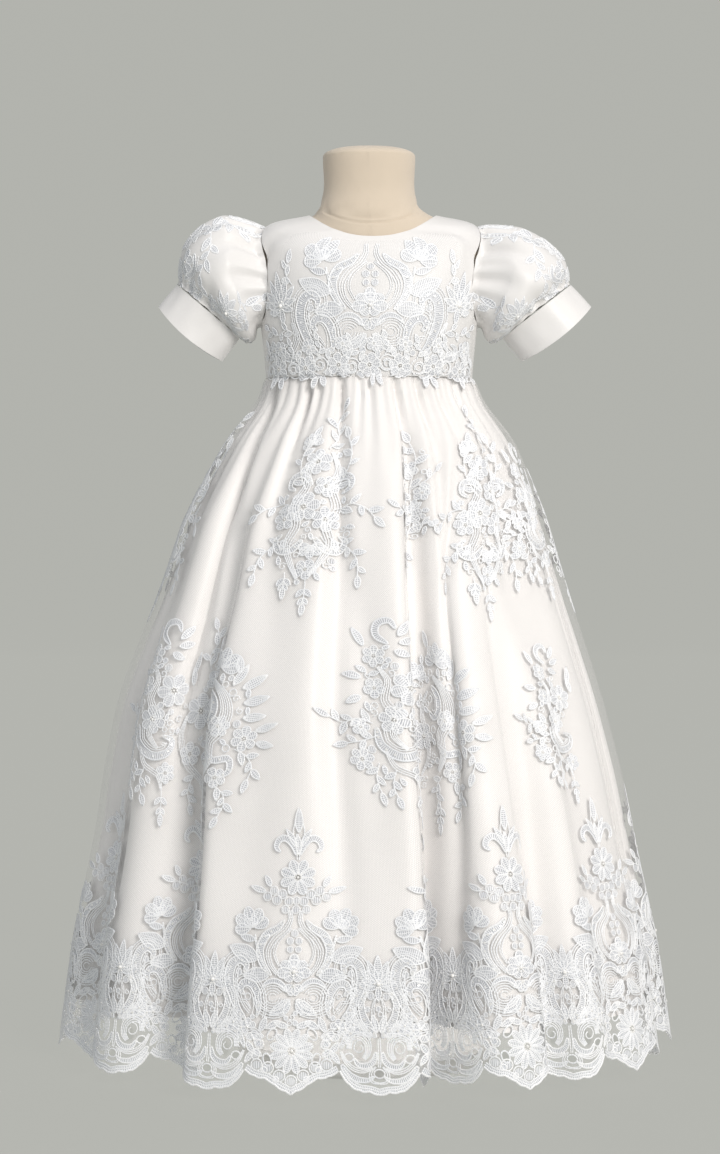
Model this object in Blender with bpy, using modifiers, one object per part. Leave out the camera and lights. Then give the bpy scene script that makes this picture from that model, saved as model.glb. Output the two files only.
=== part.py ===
"""Christening gown worn by a limbless child's dress form on a round stand.

Metres, +Z up, the gown's front faces -Y. The origin is under the middle of the stand's base.
The bodice and the form share one lofted body surface, whose ring angle is 0 at the front centre,
+90 degrees at +X and 180 at the back centre. Both skirts share one hanging surface: an oval that
widens from waist to hem, with the folds of a table pressed into it. A column of the skirt is
counted in lace repeats, of which REPEATS go round the hem.
"""

import math
from collections import namedtuple

import bmesh
import bpy
import numpy as np
from mathutils import Vector
from mathutils.geometry import delaunay_2d_cdt

NAME = "christening_gown"

# Driving dimensions
SEAM_GAP = 0.0003
WAIST_Z = 0.597
SKIRT_TOP_Z = 0.5961
HEM_Z = 0.010
SKIRT_DROP = SKIRT_TOP_Z - HEM_Z
SATIN_WALL = 0.0018
SKIRT_WALL = 0.0010
LACE_WALL = 0.0010
SLEEVE_WALL = 0.0012
BODY_SQUARENESS = 2.25

# Bodice and form: one row for each height, from the waist seam to the neckline
BodyRow = namedtuple("BodyRow", "v side_x side_z front_y front_z back_y back_z lean")
BODY = tuple(BodyRow(*row) for row in (
    (0.00, 0.0905, 0.5970, 0.065, 0.597, 0.060, 0.597, 0.0010),
    (0.15, 0.0922, 0.6170, 0.068, 0.618, 0.062, 0.618, 0.0010),
    (0.35, 0.0953, 0.6450, 0.070, 0.648, 0.064, 0.650, 0.0012),
    (0.55, 0.0982, 0.6760, 0.067, 0.673, 0.065, 0.680, 0.0018),
    (0.72, 0.0998, 0.7030, 0.061, 0.692, 0.062, 0.704, 0.0022),
    (0.82, 0.0988, 0.7205, 0.056, 0.702, 0.057, 0.716, 0.0026),
    (0.89, 0.0900, 0.7305, 0.052, 0.708, 0.052, 0.723, 0.0032),
    (1.00, 0.0560, 0.7385, 0.045, 0.717, 0.041, 0.734, 0.0042),
))
BODICE_COLUMNS = 16
BODICE_LOW_ROWS = (0.0, 0.11, 0.22)
BODICE_HIGH_ROWS = (0.94, 1.0)

# Armhole: an oval in ring angle and height, drawn with straight steps that the sleeve repeats
ARMHOLE_LOW = 0.32
ARMHOLE_HIGH = 0.875
ARMHOLE_HALF_ANGLE = math.radians(28)
ARMHOLE_STEPS = 7

# Puffed sleeve: rings from the armhole to the cuff seam, x measured from the gown's middle
SleeveRow = namedtuple("SleeveRow", "top_x top_z under_x under_z half_y gather")
SLEEVE = tuple(SleeveRow(*row) for row in (
    (0.1160, 0.7375, 0.1007, 0.6330, 0.0415, 0.0019),
    (0.1400, 0.7345, 0.1045, 0.6292, 0.0470, 0.0010),
    (0.1600, 0.7185, 0.1082, 0.6283, 0.0455, 0.0008),
    (0.1695, 0.6985, 0.1120, 0.6296, 0.0385, 0.0017),
    (0.1715, 0.6785, 0.1150, 0.6315, 0.0290, 0.0008),
))
SLEEVE_GATHERS = 14
SLEEVE_COLUMNS_PER_GATHER = 3
SLEEVE_LIFT = 0.003
SLEEVE_FLARE = 0.0012
SLEEVE_WAY_OUT = (0.96, 0.28)
SLEEVE_ROOT_X = 0.098
SLEEVE_LEAN_V = 0.6
SLEEVE_REACH = {"left": 0.97, "right": 1.06}
SLEEVE_SAG = {"left": 0.0, "right": 0.012}
SIDE = {"left": -1, "right": 1}
CUFF_DEPTH = 0.026
CUFF_BOW = 1.015
CUFF_FLARE = 1.02
CUFF_SEGMENTS = 20

# Skirt silhouette, from the waist seam to the hem
SkirtRow = namedtuple("SkirtRow", "z half_width lean")
SKIRT = tuple(SkirtRow(*row) for row in (
    (0.597, 0.0905, 0.0010), (0.577, 0.0985, 0.0015), (0.542, 0.1250, 0.0015), (0.507, 0.1435, -0.0010),
    (0.472, 0.1595, -0.0030), (0.437, 0.1715, -0.0040), (0.401, 0.1838, -0.0048), (0.366, 0.1965, -0.0058),
    (0.313, 0.2140, -0.0065), (0.278, 0.2225, -0.0055), (0.243, 0.2300, -0.0043), (0.208, 0.2360, -0.0032),
    (0.173, 0.2430, -0.0030), (0.137, 0.2510, -0.0028), (0.102, 0.2580, -0.0022), (0.055, 0.2650, -0.0018),
    (0.010, 0.2710, -0.0015),
))
SKIRT_DEPTH_RATIO = (0.715, 0.810)
REPEATS = 13
FIRST_REPEAT = math.radians(-13.3)
EVEN_UNTIL = 0.35
HEM_SAMPLES = 7201

# Folds pressed into the skirt: angle and widths in degrees at the hem, depth in metres, lean is the
# sideways slide of the valley's floor for each metre of depth, start is where it begins (waist 0)
Fold = namedtuple("Fold", "angle depth left right lean start")
FOLDS = tuple(Fold(*row) for row in (
    (-68.0, 0.020, 7.0, 6.0, 0.00, 0.20),
    (-41.0, 0.046, 7.0, 4.5, 0.25, 0.00),
    (-5.0, 0.009, 8.0, 8.0, 0.00, 0.00),
    (16.5, 0.069, 3.7, 4.4, -0.28, 0.04),
    (38.0, 0.027, 3.0, 3.5, -0.20, 0.30),
    (50.0, 0.006, 5.0, 5.0, 0.00, 0.10),
    (78.0, 0.024, 6.0, 7.0, 0.00, 0.12),
    (104.0, 0.034, 6.0, 6.0, 0.10, 0.05),
    (128.0, 0.036, 6.0, 5.0, 0.00, 0.15),
    (151.0, 0.032, 5.0, 6.0, 0.10, 0.03),
    (176.0, 0.040, 6.0, 5.0, -0.10, 0.10),
    (201.0, 0.034, 5.0, 6.0, 0.00, 0.06),
    (225.0, 0.036, 6.0, 6.0, 0.10, 0.18),
    (247.0, 0.034, 5.0, 6.0, 0.00, 0.05),
    (263.0, 0.018, 5.0, 5.0, 0.00, 0.22),
))
FOLD_ROUNDNESS = 2.4

# Waist gathers of the skirt
GATHER_COLUMNS_EACH = 3
GATHER_DEPTH = 0.0030
GATHER_SEAM_SHARE = 0.35
GATHER_FADE = 0.42
GATHER_FULL = 0.05

SKIRT_ROWS = (0.0, 0.05, 0.15, 0.36, 0.64)
UNDERSKIRT_INSET = (0.0014, 0.0070)
UNDERSKIRT_INSET_FULL = 0.12
UNDERSKIRT_HEM = 0.046

# Hem border: a pointed daisy scallop and a round shell scallop fill one repeat
BORDER_HEIGHT = 0.054
DAISY_HALF = 0.27
DAISY_COLUMNS = 5
SHELL_COLUMNS = 4
NOTCH_HEIGHT = 0.018
DAISY_EDGE = ((0.11, 0.0135), (0.24, 0.0115), (0.37, 0.0050), (0.50, 0.0))
SHELL_EDGE = ((0.10, 0.0090), (0.25, 0.0030), (0.38, 0.0022), (0.50, 0.0))
DAISY_CENTRE = 0.034
DAISY_GAP_RING = 0.0214
DAISY_GAP_ANGLES = (-19, 38, 142, 199)
DAISY_GAP = (0.0105, 0.0065)
Gap = namedtuple("Gap", "across height wide tall turn")
GAP_CORNERS = (0, 65, 145, 215, 295)
SHELL_GAPS = tuple(Gap(*row) for row in (
    (0.50, 0.0170, 0.0090, 0.0070, 0),
    (0.30, 0.0345, 0.0140, 0.0100, 60),
    (0.70, 0.0345, 0.0140, 0.0100, 120),
    (0.12, 0.0290, 0.0080, 0.0065, 0),
    (0.88, 0.0290, 0.0080, 0.0065, 0),
))

# Bodice lace and the flower trim on the waist seam
LACE_TOP_ROWS = (11, 11, 11, 11, 10, 9, 8, 7, 6)
LACE_SIDE = 0.25
TRIM_HALF_ANGLE = math.radians(82)
TRIM_FLOWERS = 14
TRIM_COLUMNS_EACH = 2
TRIM_RISE = 0.075
TRIM_MIDDLE = 0.012
TRIM_DROP = 0.0085
TRIM_LOBE = 0.2
TRIM_BULGE = 0.0010
TRIM_EASE = 0.0008

# Form, stand and buttons
FORM_CLEARANCE = 0.0004
FormRing = namedtuple("FormRing", "z half_x half_y")
FORM_HIP = tuple(FormRing(*row) for row in (
    (0.500, 0.068, 0.049), (0.506, 0.078, 0.055), (0.560, 0.081, 0.057), (0.588, 0.082, 0.057),
))
FORM_WAIST_EASE = 0.0030
FORM_EASE_END = 0.45
FORM_LEAST_BITE = math.radians(3)
FORM_NECK = tuple(FormRing(*row) for row in (
    (0.7475, 0.0425, 0.0390), (0.7530, 0.0415, 0.0385), (0.7900, 0.0405, 0.0380),
))
NECK_BACK = 0.002
NECK_STEP = 0.0010
CAP_HEIGHT = 0.008
CAP_ROUND = 0.85
CAP_RING_SHARES = (0.0, 0.5, 0.85, 1.0)
POLE_RADIUS = 0.011
BASE_RADIUS = 0.115
BASE_HEIGHT = 0.016
BUTTON_RADIUS = 0.0045
BUTTON_THICKNESS = 0.0026
BUTTON_HEIGHTS = (0.10, 0.32, 0.54, 0.76, 0.95)

# Colour, roughness, metallic
SATIN = ((0.90, 0.90, 0.89), 0.35, 0.0)
TULLE = ((0.93, 0.93, 0.93), 0.60, 0.0)
LACE = ((0.88, 0.90, 0.93), 0.45, 0.0)
JERSEY = ((0.83, 0.78, 0.68), 0.85, 0.0)
STEEL = ((0.60, 0.60, 0.60), 0.30, 1.0)
PEARL = ((0.92, 0.90, 0.87), 0.20, 0.0)


# Tables and surfaces

def smooth(at, knots, values):
    """A cubic curve through the knots, with the slope of its neighbours at each."""
    knots = np.asarray(knots, float)
    values = np.asarray(values, float)
    slopes = np.gradient(values, knots)
    at = np.asarray(at, float)
    left = np.clip(np.searchsorted(knots, at, side="right") - 1, 0, len(knots) - 2)
    step = knots[left + 1] - knots[left]
    t = (at - knots[left]) / step
    rise = values[left + 1] - values[left]
    start = slopes[left] * step
    end = slopes[left + 1] * step
    return values[left] + t * (start + t * (3 * rise - 2 * start - end + t * (start + end - 2 * rise)))


def column(table, name):
    return [getattr(row, name) for row in table]


def body_value(name, v):
    return smooth(v, column(BODY, "v"), column(BODY, name))


def power(value):
    return np.sign(value) * np.abs(value) ** (2 / BODY_SQUARENESS)


def body_point(angle, v):
    """The bodice's outer skin."""
    angle, v = np.broadcast_arrays(np.asarray(angle, float), np.asarray(v, float))
    front = np.cos(angle) >= 0
    reach = np.where(front, -body_value("front_y", v), -body_value("back_y", v))
    far_z = np.where(front, body_value("front_z", v), body_value("back_z", v))
    side_z = body_value("side_z", v)
    x = body_value("side_x", v) * power(np.sin(angle)) + body_value("lean", v)
    y = reach * power(np.cos(angle))
    z = side_z + (far_z - side_z) * np.cos(angle) ** 2
    return np.stack([x, y, z], axis=-1)


def facing(surface, angle, v, up):
    """Unit normal of a surface, outwards. up is +1 where v grows upwards and -1 where it falls."""
    step = 1e-4
    along = surface(angle + step, v) - surface(angle - step, v)
    rise = (surface(angle, v + step) - surface(angle, v - step)) * up
    normal = np.cross(along, rise)
    return normal / np.linalg.norm(normal, axis=-1, keepdims=True)


def body_out(angle, v, out):
    angle, v = np.broadcast_arrays(np.asarray(angle, float), np.asarray(v, float))
    return body_point(angle, v) + out * facing(body_point, angle, v, 1)


def skirt_value(name, z):
    rows = SKIRT[::-1]
    return smooth(z, column(rows, "z"), column(rows, name))


def skirt_height(v):
    return SKIRT_TOP_Z - v * SKIRT_DROP


def skirt_smooth(angle, v):
    """The skirt's outer skin without its gathers, v 0 at the waist seam and 1 at the hem."""
    angle, v = np.broadcast_arrays(np.asarray(angle, float), np.asarray(v, float))
    z = skirt_height(v)
    half_x = skirt_value("half_width", z)
    half_y = half_x * (SKIRT_DEPTH_RATIO[0] + (SKIRT_DEPTH_RATIO[1] - SKIRT_DEPTH_RATIO[0]) * v)
    normal_x = half_y * np.sin(angle)
    normal_y = -half_x * np.cos(angle)
    length = np.hypot(normal_x, normal_y)
    normal_x = normal_x / length
    normal_y = normal_y / length
    x = half_x * np.sin(angle) + skirt_value("lean", z)
    y = -half_y * np.cos(angle)
    degrees = np.degrees(angle)
    for fold in FOLDS:
        off = (degrees - fold.angle + 180) % 360 - 180
        wide = np.where(off < 0, fold.left, fold.right)
        grown = np.clip((v - fold.start) / (1 - fold.start), 0, None)
        press = fold.depth * grown * np.exp(-np.abs(off / wide) ** FOLD_ROUNDNESS)
        x = x - press * (normal_x + fold.lean * normal_y)
        y = y - press * (normal_y - fold.lean * normal_x)
    return np.stack([x, y, z], axis=-1)


def hem_angles():
    """Ring angles and the repeats that the hem's length counts at each."""
    angles = np.radians(np.linspace(-180, 180, HEM_SAMPLES)) + FIRST_REPEAT
    points = skirt_smooth(angles, 1.0)
    steps = np.linalg.norm(np.diff(points, axis=0), axis=1)
    length = np.concatenate([[0], np.cumsum(steps)])
    repeat = length[-1] / REPEATS
    middle = np.interp(FIRST_REPEAT, angles, length)
    return angles, (length - middle) / repeat, repeat


HEM_ANGLES, HEM_COUNTS, REPEAT = hem_angles()


def skirt_angle(count, v):
    """The ring angle of a column: evenly spread at the waist, by the cloth's length lower down."""
    count = np.asarray(count, float)
    turns = np.floor((count - HEM_COUNTS[0]) / REPEATS)
    hem = np.interp(count - turns * REPEATS, HEM_COUNTS, HEM_ANGLES) + turns * 2 * math.pi
    even = FIRST_REPEAT + count * 2 * math.pi / REPEATS
    t = np.clip(np.asarray(v, float) / EVEN_UNTIL, 0, 1)
    return even + (hem - even) * t * t * (3 - 2 * t)


def gather_size(v):
    seam = GATHER_SEAM_SHARE + (1 - GATHER_SEAM_SHARE) * np.clip(v / GATHER_FULL, 0, 1)
    return GATHER_DEPTH * seam * np.clip(1 - v / GATHER_FADE, 0, 1)


def skirt_point(count, v, wave, inset):
    """The gathered skin at a column, inset metres inside the outer one. wave is 1 on a gather's crest."""
    angle = skirt_angle(count, v)
    out = gather_size(v) * wave - inset
    return skirt_smooth(angle, v) + out[..., None] * facing(skirt_smooth, angle, v, -1)


# Objects

def collection(name):
    made = bpy.data.collections.new(name)
    bpy.context.scene.collection.children.link(made)
    return made


def material(name, look):
    colour, roughness, metallic = look
    made = bpy.data.materials.new(name)
    made.use_nodes = True
    shader = made.node_tree.nodes["Principled BSDF"]
    shader.inputs["Base Color"].default_value = (*colour, 1)
    shader.inputs["Roughness"].default_value = roughness
    shader.inputs["Metallic"].default_value = metallic
    return made


def adopt(thing, name, look):
    """Names an object, gives it its material and moves it to the gown's collection."""
    thing.name = name
    thing.data.name = name
    thing.data.materials.clear()
    thing.data.materials.append(material(name, look))
    for owner in list(thing.users_collection):
        owner.objects.unlink(thing)
    GOWN.objects.link(thing)
    return thing


def from_bmesh(name, shape, look):
    mesh = bpy.data.meshes.new(name)
    shape.to_mesh(mesh)
    shape.free()
    thing = adopt(bpy.data.objects.new(name, mesh), name, look)
    mesh.shade_smooth()
    mesh.set_sharp_from_angle(angle=math.radians(50))
    return thing


def wall(thing, thickness):
    """Gives an open surface its wall, inwards from its outer skin."""
    modifier = thing.modifiers.new("wall", "SOLIDIFY")
    modifier.thickness = thickness
    modifier.offset = -1
    modifier.use_quality_normals = True
    return thing


def grid(shape, points, closed):
    """Quads over rows of points. The last column meets the first where the rows are closed."""
    rows = [[shape.verts.new(p) for p in row] for row in points]
    for low, high in zip(rows, rows[1:]):
        ends = len(low) if closed else len(low) - 1
        for i in range(ends):
            j = (i + 1) % len(low)
            shape.faces.new((low[i], low[j], high[j], high[i]))
    return rows


def tube(name, points, thickness, look):
    """A closed cloth tube from rings of outer points, its wall grown inwards."""
    shape = bmesh.new()
    grid(shape, points, True)
    return wall(from_bmesh(name, shape, look), thickness)


def two_skins(name, outer, inner, faces, look):
    """A cloth piece between two skins with the same faces, closed by a rim along its open edges.

    Both skins come from the surface that the piece shares with its neighbours, so the seam gaps
    between them stay even through the wall.
    """
    count = len(outer)
    shape = bmesh.new()
    verts = [shape.verts.new(p) for p in [*outer, *inner]]
    walked = set()
    for face in faces:
        shape.faces.new([verts[i] for i in face])
        shape.faces.new([verts[i + count] for i in reversed(face)])
        walked.update(zip(face, [*face[1:], face[0]]))
    for a, b in walked:
        if (b, a) not in walked:
            shape.faces.new((verts[b], verts[a], verts[a + count], verts[b + count]))
    return from_bmesh(name, shape, look)


def grid_faces(points, middles):
    """Triangles over rows of points, rows running upwards and columns by growing angle.

    A cell is cut along the diagonal that passes nearer to the surface's own point in its middle, so
    both skins of a wall, and a skirt and its lining, are cut alike and never cross.
    """
    rising = np.linalg.norm((points[:-1, :-1] + points[1:, 1:]) / 2 - middles, axis=-1)
    falling = np.linalg.norm((points[:-1, 1:] + points[1:, :-1]) / 2 - middles, axis=-1)
    columns = points.shape[1]
    faces = []
    for r, c in np.ndindex(rising.shape):
        low, high = r * columns + c, (r + 1) * columns + c
        if rising[r, c] <= falling[r, c]:
            faces += [[low, low + 1, high + 1], [low, high + 1, high]]
        else:
            faces += [[low, low + 1, high], [low + 1, high + 1, high]]
    return faces


def solid_loft(name, rings, look, splits=""):
    """A filled body through closed rings, from the lowest to the highest.

    splits names the diagonal of each column's cells: R rises to the right and L to the left.
    """
    shape = bmesh.new()
    rows = [[shape.verts.new(p) for p in ring] for ring in rings]
    wide = len(rings[0])
    for low, high in zip(rows, rows[1:]):
        for i, split in zip(range(wide), splits or "R" * wide):
            j = (i + 1) % wide
            if split == "R":
                shape.faces.new((low[i], low[j], high[j]))
                shape.faces.new((low[i], high[j], high[i]))
            else:
                shape.faces.new((low[i], low[j], high[i]))
                shape.faces.new((low[j], high[j], high[i]))
    shape.faces.new(list(reversed(rows[0])))
    shape.faces.new(rows[-1])
    return from_bmesh(name, shape, look)


# Bodice

def armhole_rows():
    """Height and half angle of each step of the armhole, from the underarm to the shoulder."""
    turn = math.pi * np.arange(ARMHOLE_STEPS + 1) / ARMHOLE_STEPS
    heights = ARMHOLE_LOW + (ARMHOLE_HIGH - ARMHOLE_LOW) * (1 - np.cos(turn)) / 2
    return heights, ARMHOLE_HALF_ANGLE * np.sin(turn)


def bodice_rows():
    heights, bites = armhole_rows()
    rows = np.concatenate([BODICE_LOW_ROWS, heights, BODICE_HIGH_ROWS])
    low = np.zeros(len(BODICE_LOW_ROWS))
    high = np.zeros(len(BODICE_HIGH_ROWS))
    return rows, np.concatenate([low, bites, high])


def seam_angle(v):
    """Half of a seam's gap as an angle: a full half gap at the body's nearest ring."""
    return SEAM_GAP / 2 / body_value("side_x", v)


def front_edge(v, bite):
    return math.pi / 2 - bite - seam_angle(v)


def back_edge(v, bite):
    return math.pi / 2 + bite + seam_angle(v)


def centre_back(v, _):
    return math.pi - seam_angle(v)


def split_cell(row, c, columns):
    """The two triangles of a grid cell, its diagonal rising towards the panel's middle."""
    low, high = row * columns + c, (row + 1) * columns + c
    if c < (columns - 1) // 2:
        return [[low, low + 1, high + 1], [low, high + 1, high]]
    return [[low, low + 1, high], [low + 1, high + 1, high]]


def panel_grid(left_edge, right_edge, columns):
    """Ring angles and heights between two edges, each a function of height and armhole bite."""
    rows, bites = bodice_rows()
    angles = [np.linspace(left_edge(v, b), right_edge(v, b), columns + 1) for v, b in zip(rows, bites)]
    return np.array(angles), np.repeat(rows[:, None], columns + 1, axis=1)


def panel(name, left_edge, right_edge, columns):
    """A bodice panel: its outer skin on the body's surface, its wall inwards."""
    angles, heights = panel_grid(left_edge, right_edge, columns)
    outer = body_point(angles, heights).reshape(-1, 3)
    inner = body_out(angles, heights, -SATIN_WALL).reshape(-1, 3)
    rows, wide = angles.shape
    faces = [part for r in range(rows - 1) for c in range(wide - 1) for part in split_cell(r, c, wide)]
    two_skins(name, outer, inner, faces, SATIN)


def bodice():
    half = BODICE_COLUMNS // 2
    panel("bodice_front", lambda v, b: -front_edge(v, b), front_edge, BODICE_COLUMNS)
    panel("bodice_back_right", back_edge, centre_back, half)
    panel("bodice_back_left", lambda v, b: -centre_back(v, b), lambda v, b: -back_edge(v, b), half)


def lace_panel():
    """The lace on the chest, made from the front panel's own points moved out.

    It reaches up each column to the row that LACE_TOP_ROWS names, and its side edges stay LACE_SIDE of
    a column inside the armholes.
    """
    columns = BODICE_COLUMNS + 1
    angles, heights = panel_grid(lambda v, b: -front_edge(v, b), front_edge, BODICE_COLUMNS)
    outer = np.array(body_out(angles, heights, SEAM_GAP + LACE_WALL))
    inner = np.array(body_out(angles, heights, SEAM_GAP))
    for skin in (outer, inner):
        skin[:, 0] += (skin[:, 1] - skin[:, 0]) * LACE_SIDE
        skin[:, -1] += (skin[:, -2] - skin[:, -1]) * LACE_SIDE
    top = [LACE_TOP_ROWS[abs(c - BODICE_COLUMNS // 2)] for c in range(columns)]
    faces = []
    for c in range(BODICE_COLUMNS):
        low, high = sorted((top[c], top[c + 1]))
        faces += [part for r in range(low) for part in split_cell(r, c, columns)]
        taller, shorter = (c, c + 1) if top[c] == high else (c + 1, c)
        if high > low:
            corners = [low * columns + shorter, high * columns + taller, low * columns + taller]
            faces.append(corners if taller == c else corners[::-1])
    used = sorted({i for face in faces for i in face})
    place = {old: new for new, old in enumerate(used)}
    faces = [[place[i] for i in face] for face in faces]
    two_skins("bodice_lace", outer.reshape(-1, 3)[used], inner.reshape(-1, 3)[used], faces, LACE)


def waist_trim():
    """Small raised flowers on a strip over the waist seam, lobed below, clear of the gathers."""
    columns = TRIM_FLOWERS * TRIM_COLUMNS_EACH + 1
    angles = np.linspace(-TRIM_HALF_ANGLE, TRIM_HALF_ANGLE, columns)
    flower = (np.arange(columns) % TRIM_COLUMNS_EACH > 0).astype(float)
    low_v = TRIM_DROP * (1 - TRIM_LOBE * (1 - flower)) / SKIRT_DROP
    high_v = TRIM_RISE * (1 - TRIM_LOBE * (1 - flower))
    middle_v = np.full(columns, TRIM_MIDDLE)
    on_lace = 2 * SEAM_GAP + LACE_WALL
    off_gathers = GATHER_DEPTH + SEAM_GAP

    def skin(out):
        bulge = TRIM_BULGE * flower * (1 if out else 0)
        low = skirt_smooth(angles, low_v)
        low = low + (off_gathers + out + bulge)[:, None] * facing(skirt_smooth, angles, low_v, -1)
        middle_out = (on_lace + TRIM_EASE + out + bulge)[:, None]
        middle = body_point(angles, middle_v) + middle_out * facing(body_point, angles, middle_v, 1)
        high = body_out(angles, high_v, on_lace + out)
        return np.stack([low, middle, high])

    outer = skin(LACE_WALL)
    middles = (outer[:-1, :-1] + outer[1:, 1:]) / 2
    two_skins("waist_trim", outer.reshape(-1, 3), skin(0.0).reshape(-1, 3), grid_faces(outer, middles), LACE)


def buttons():
    """Flat pearls down the centre back, each facing out of the bodice."""
    for number, v in enumerate(BUTTON_HEIGHTS, 1):
        normal = facing(body_point, np.array(math.pi), np.array(v), 1)
        bpy.ops.mesh.primitive_uv_sphere_add(segments=10, ring_count=5, radius=BUTTON_RADIUS)
        button = adopt(bpy.context.object, f"button_{number}", PEARL)
        button.scale = (1, 1, BUTTON_THICKNESS / BUTTON_RADIUS)
        button.rotation_euler = Vector(normal).to_track_quat("Z", "Y").to_euler()
        button.location = body_out(math.pi, v, BUTTON_THICKNESS + SEAM_GAP)
        button.data.shade_smooth()


# Sleeves

def armhole_ring(side):
    """The armhole's corners from the shoulder down the front and up the back, each side split in three."""
    heights, bites = armhole_rows()
    down = list(range(ARMHOLE_STEPS, 0, -1))
    up = list(range(0, ARMHOLE_STEPS))
    angles = [math.pi / 2 - bites[k] for k in down] + [math.pi / 2 + bites[k] for k in up]
    corners = body_point(side * np.array(angles), heights[down + up])
    following = np.roll(corners, -1, axis=0)
    steps = np.arange(SLEEVE_COLUMNS_PER_GATHER) / SLEEVE_COLUMNS_PER_GATHER
    ring = corners[:, None] + (following - corners)[:, None] * steps[None, :, None]
    return ring.reshape(-1, 3)


def sleeve_x(which, x):
    return SLEEVE_ROOT_X + (x - SLEEVE_ROOT_X) * SLEEVE_REACH[which]


def oval(which, top, under, half_y, turn):
    """A ring between a top and an under point (x, z), turn 0 at the top and 90 degrees in front."""
    side = SIDE[which]
    lean = body_value("lean", SLEEVE_LEAN_V)
    top_x, under_x = sleeve_x(which, top[0]), sleeve_x(which, under[0])
    x = (top_x + under_x) / 2 + (top_x - under_x) / 2 * np.cos(turn)
    z = (top[1] + under[1]) / 2 + (top[1] - under[1]) / 2 * np.cos(turn)
    return np.stack([side * x + lean, -half_y * np.sin(turn), z], axis=-1)


def spread(ring, amount):
    """Moves a ring's points away from its middle."""
    away = ring - ring.mean(axis=0)
    return ring + away / np.linalg.norm(away, axis=1, keepdims=True) * np.asarray(amount)[..., None]


def sleeve(which):
    side = SIDE[which]
    count = SLEEVE_GATHERS * SLEEVE_COLUMNS_PER_GATHER
    turn = 2 * math.pi * np.arange(count) / count
    wave = np.where(np.arange(count) % SLEEVE_COLUMNS_PER_GATHER == 1, 1.0, -0.5)
    root = spread(armhole_ring(side), -SEAM_GAP)
    outward = np.array([side * SLEEVE_WAY_OUT[0], 0, SLEEVE_WAY_OUT[1]])
    rings = [root, spread(root, SLEEVE_FLARE) + outward * SLEEVE_LIFT]
    for number, row in enumerate(SLEEVE, 1):
        sag = SLEEVE_SAG[which] * math.sin(math.pi * number / len(SLEEVE))
        ring = oval(which, (row.top_x, row.top_z - sag), (row.under_x, row.under_z), row.half_y, turn)
        rings.append(spread(ring, row.gather * wave))
    if side < 0:
        rings = rings[::-1]
    tube(f"sleeve_{which}", rings, SLEEVE_WALL, SATIN)


def cuff(which):
    """A plain band, an oval tube square to the sleeve's end."""
    side = SIDE[which]
    turn = 2 * math.pi * np.arange(CUFF_SEGMENTS) / CUFF_SEGMENTS
    seam = SLEEVE[-1]
    across = np.array([seam.top_x - seam.under_x, seam.top_z - seam.under_z])
    axis = np.array([across[1], -across[0]]) / np.linalg.norm(across)
    rings = []
    for reach, size in ((SEAM_GAP * 2, 1.0), (CUFF_DEPTH / 2, CUFF_BOW), (CUFF_DEPTH, CUFF_FLARE)):
        middle = np.array([seam.under_x, seam.under_z]) + across / 2 + axis * reach
        half = across / 2 * size
        rings.append(oval(which, middle + half, middle - half, seam.half_y * size, turn))
    if side < 0:
        rings = rings[::-1]
    tube(f"cuff_{which}", rings, SATIN_WALL, SATIN)


# Skirts

def border_columns(first, last):
    """Column counts from one notch of the hem to another, daisy and shell scallops in turn."""
    counts = []
    start = first
    while start < last - 1e-6:
        daisy = is_daisy_start(start)
        width = 2 * DAISY_HALF if daisy else 1 - 2 * DAISY_HALF
        steps = DAISY_COLUMNS if daisy else SHELL_COLUMNS
        counts += [start + width * i / steps for i in range(steps)]
        start += width
    return np.array(counts + [last])


def gather_wave(counts, first_index):
    index = (np.arange(len(counts)) + first_index) % GATHER_COLUMNS_EACH
    return np.where(index == 1, 1.0, -0.5)


def pull_in(counts):
    """Leaves half a seam's gap at each end of a skirt panel, measured at its narrow waist."""
    waist_repeat = math.pi * (SKIRT[0].half_width + BODY[0].front_y) / REPEATS
    counts = counts.copy()
    counts[0] += SEAM_GAP / 2 / waist_repeat
    counts[-1] -= SEAM_GAP / 2 / waist_repeat
    return counts


def gap_outline(middle_x, middle_z, wide, tall, turn):
    """A five-sided eye, wide along its turn."""
    corners = np.radians(GAP_CORNERS)
    x = wide / 2 * np.cos(corners)
    z = tall / 2 * np.sin(corners)
    turn = math.radians(turn)
    return [(middle_x + a * math.cos(turn) - b * math.sin(turn),
             middle_z + a * math.sin(turn) + b * math.cos(turn)) for a, b in zip(x, z)]


def daisy_gaps(width):
    for angle in DAISY_GAP_ANGLES:
        turn = math.radians(angle)
        yield gap_outline(width / 2 + DAISY_GAP_RING * math.cos(turn),
                          DAISY_CENTRE + DAISY_GAP_RING * math.sin(turn), *DAISY_GAP, angle + 90)


def shell_gaps(width):
    for gap in SHELL_GAPS:
        yield gap_outline(width * gap.across, gap.height, gap.wide, gap.tall, gap.turn)


def inside(point, outline):
    """Whether a flat point lies in an outline whose corners run round it."""
    ring = np.array(outline)
    step = np.roll(ring, -1, axis=0) - ring
    to_point = np.asarray(point) - ring
    turned = step[:, 0] * to_point[:, 1] - step[:, 1] * to_point[:, 0]
    return bool((turned > 0).all() or (turned < 0).all())


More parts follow.
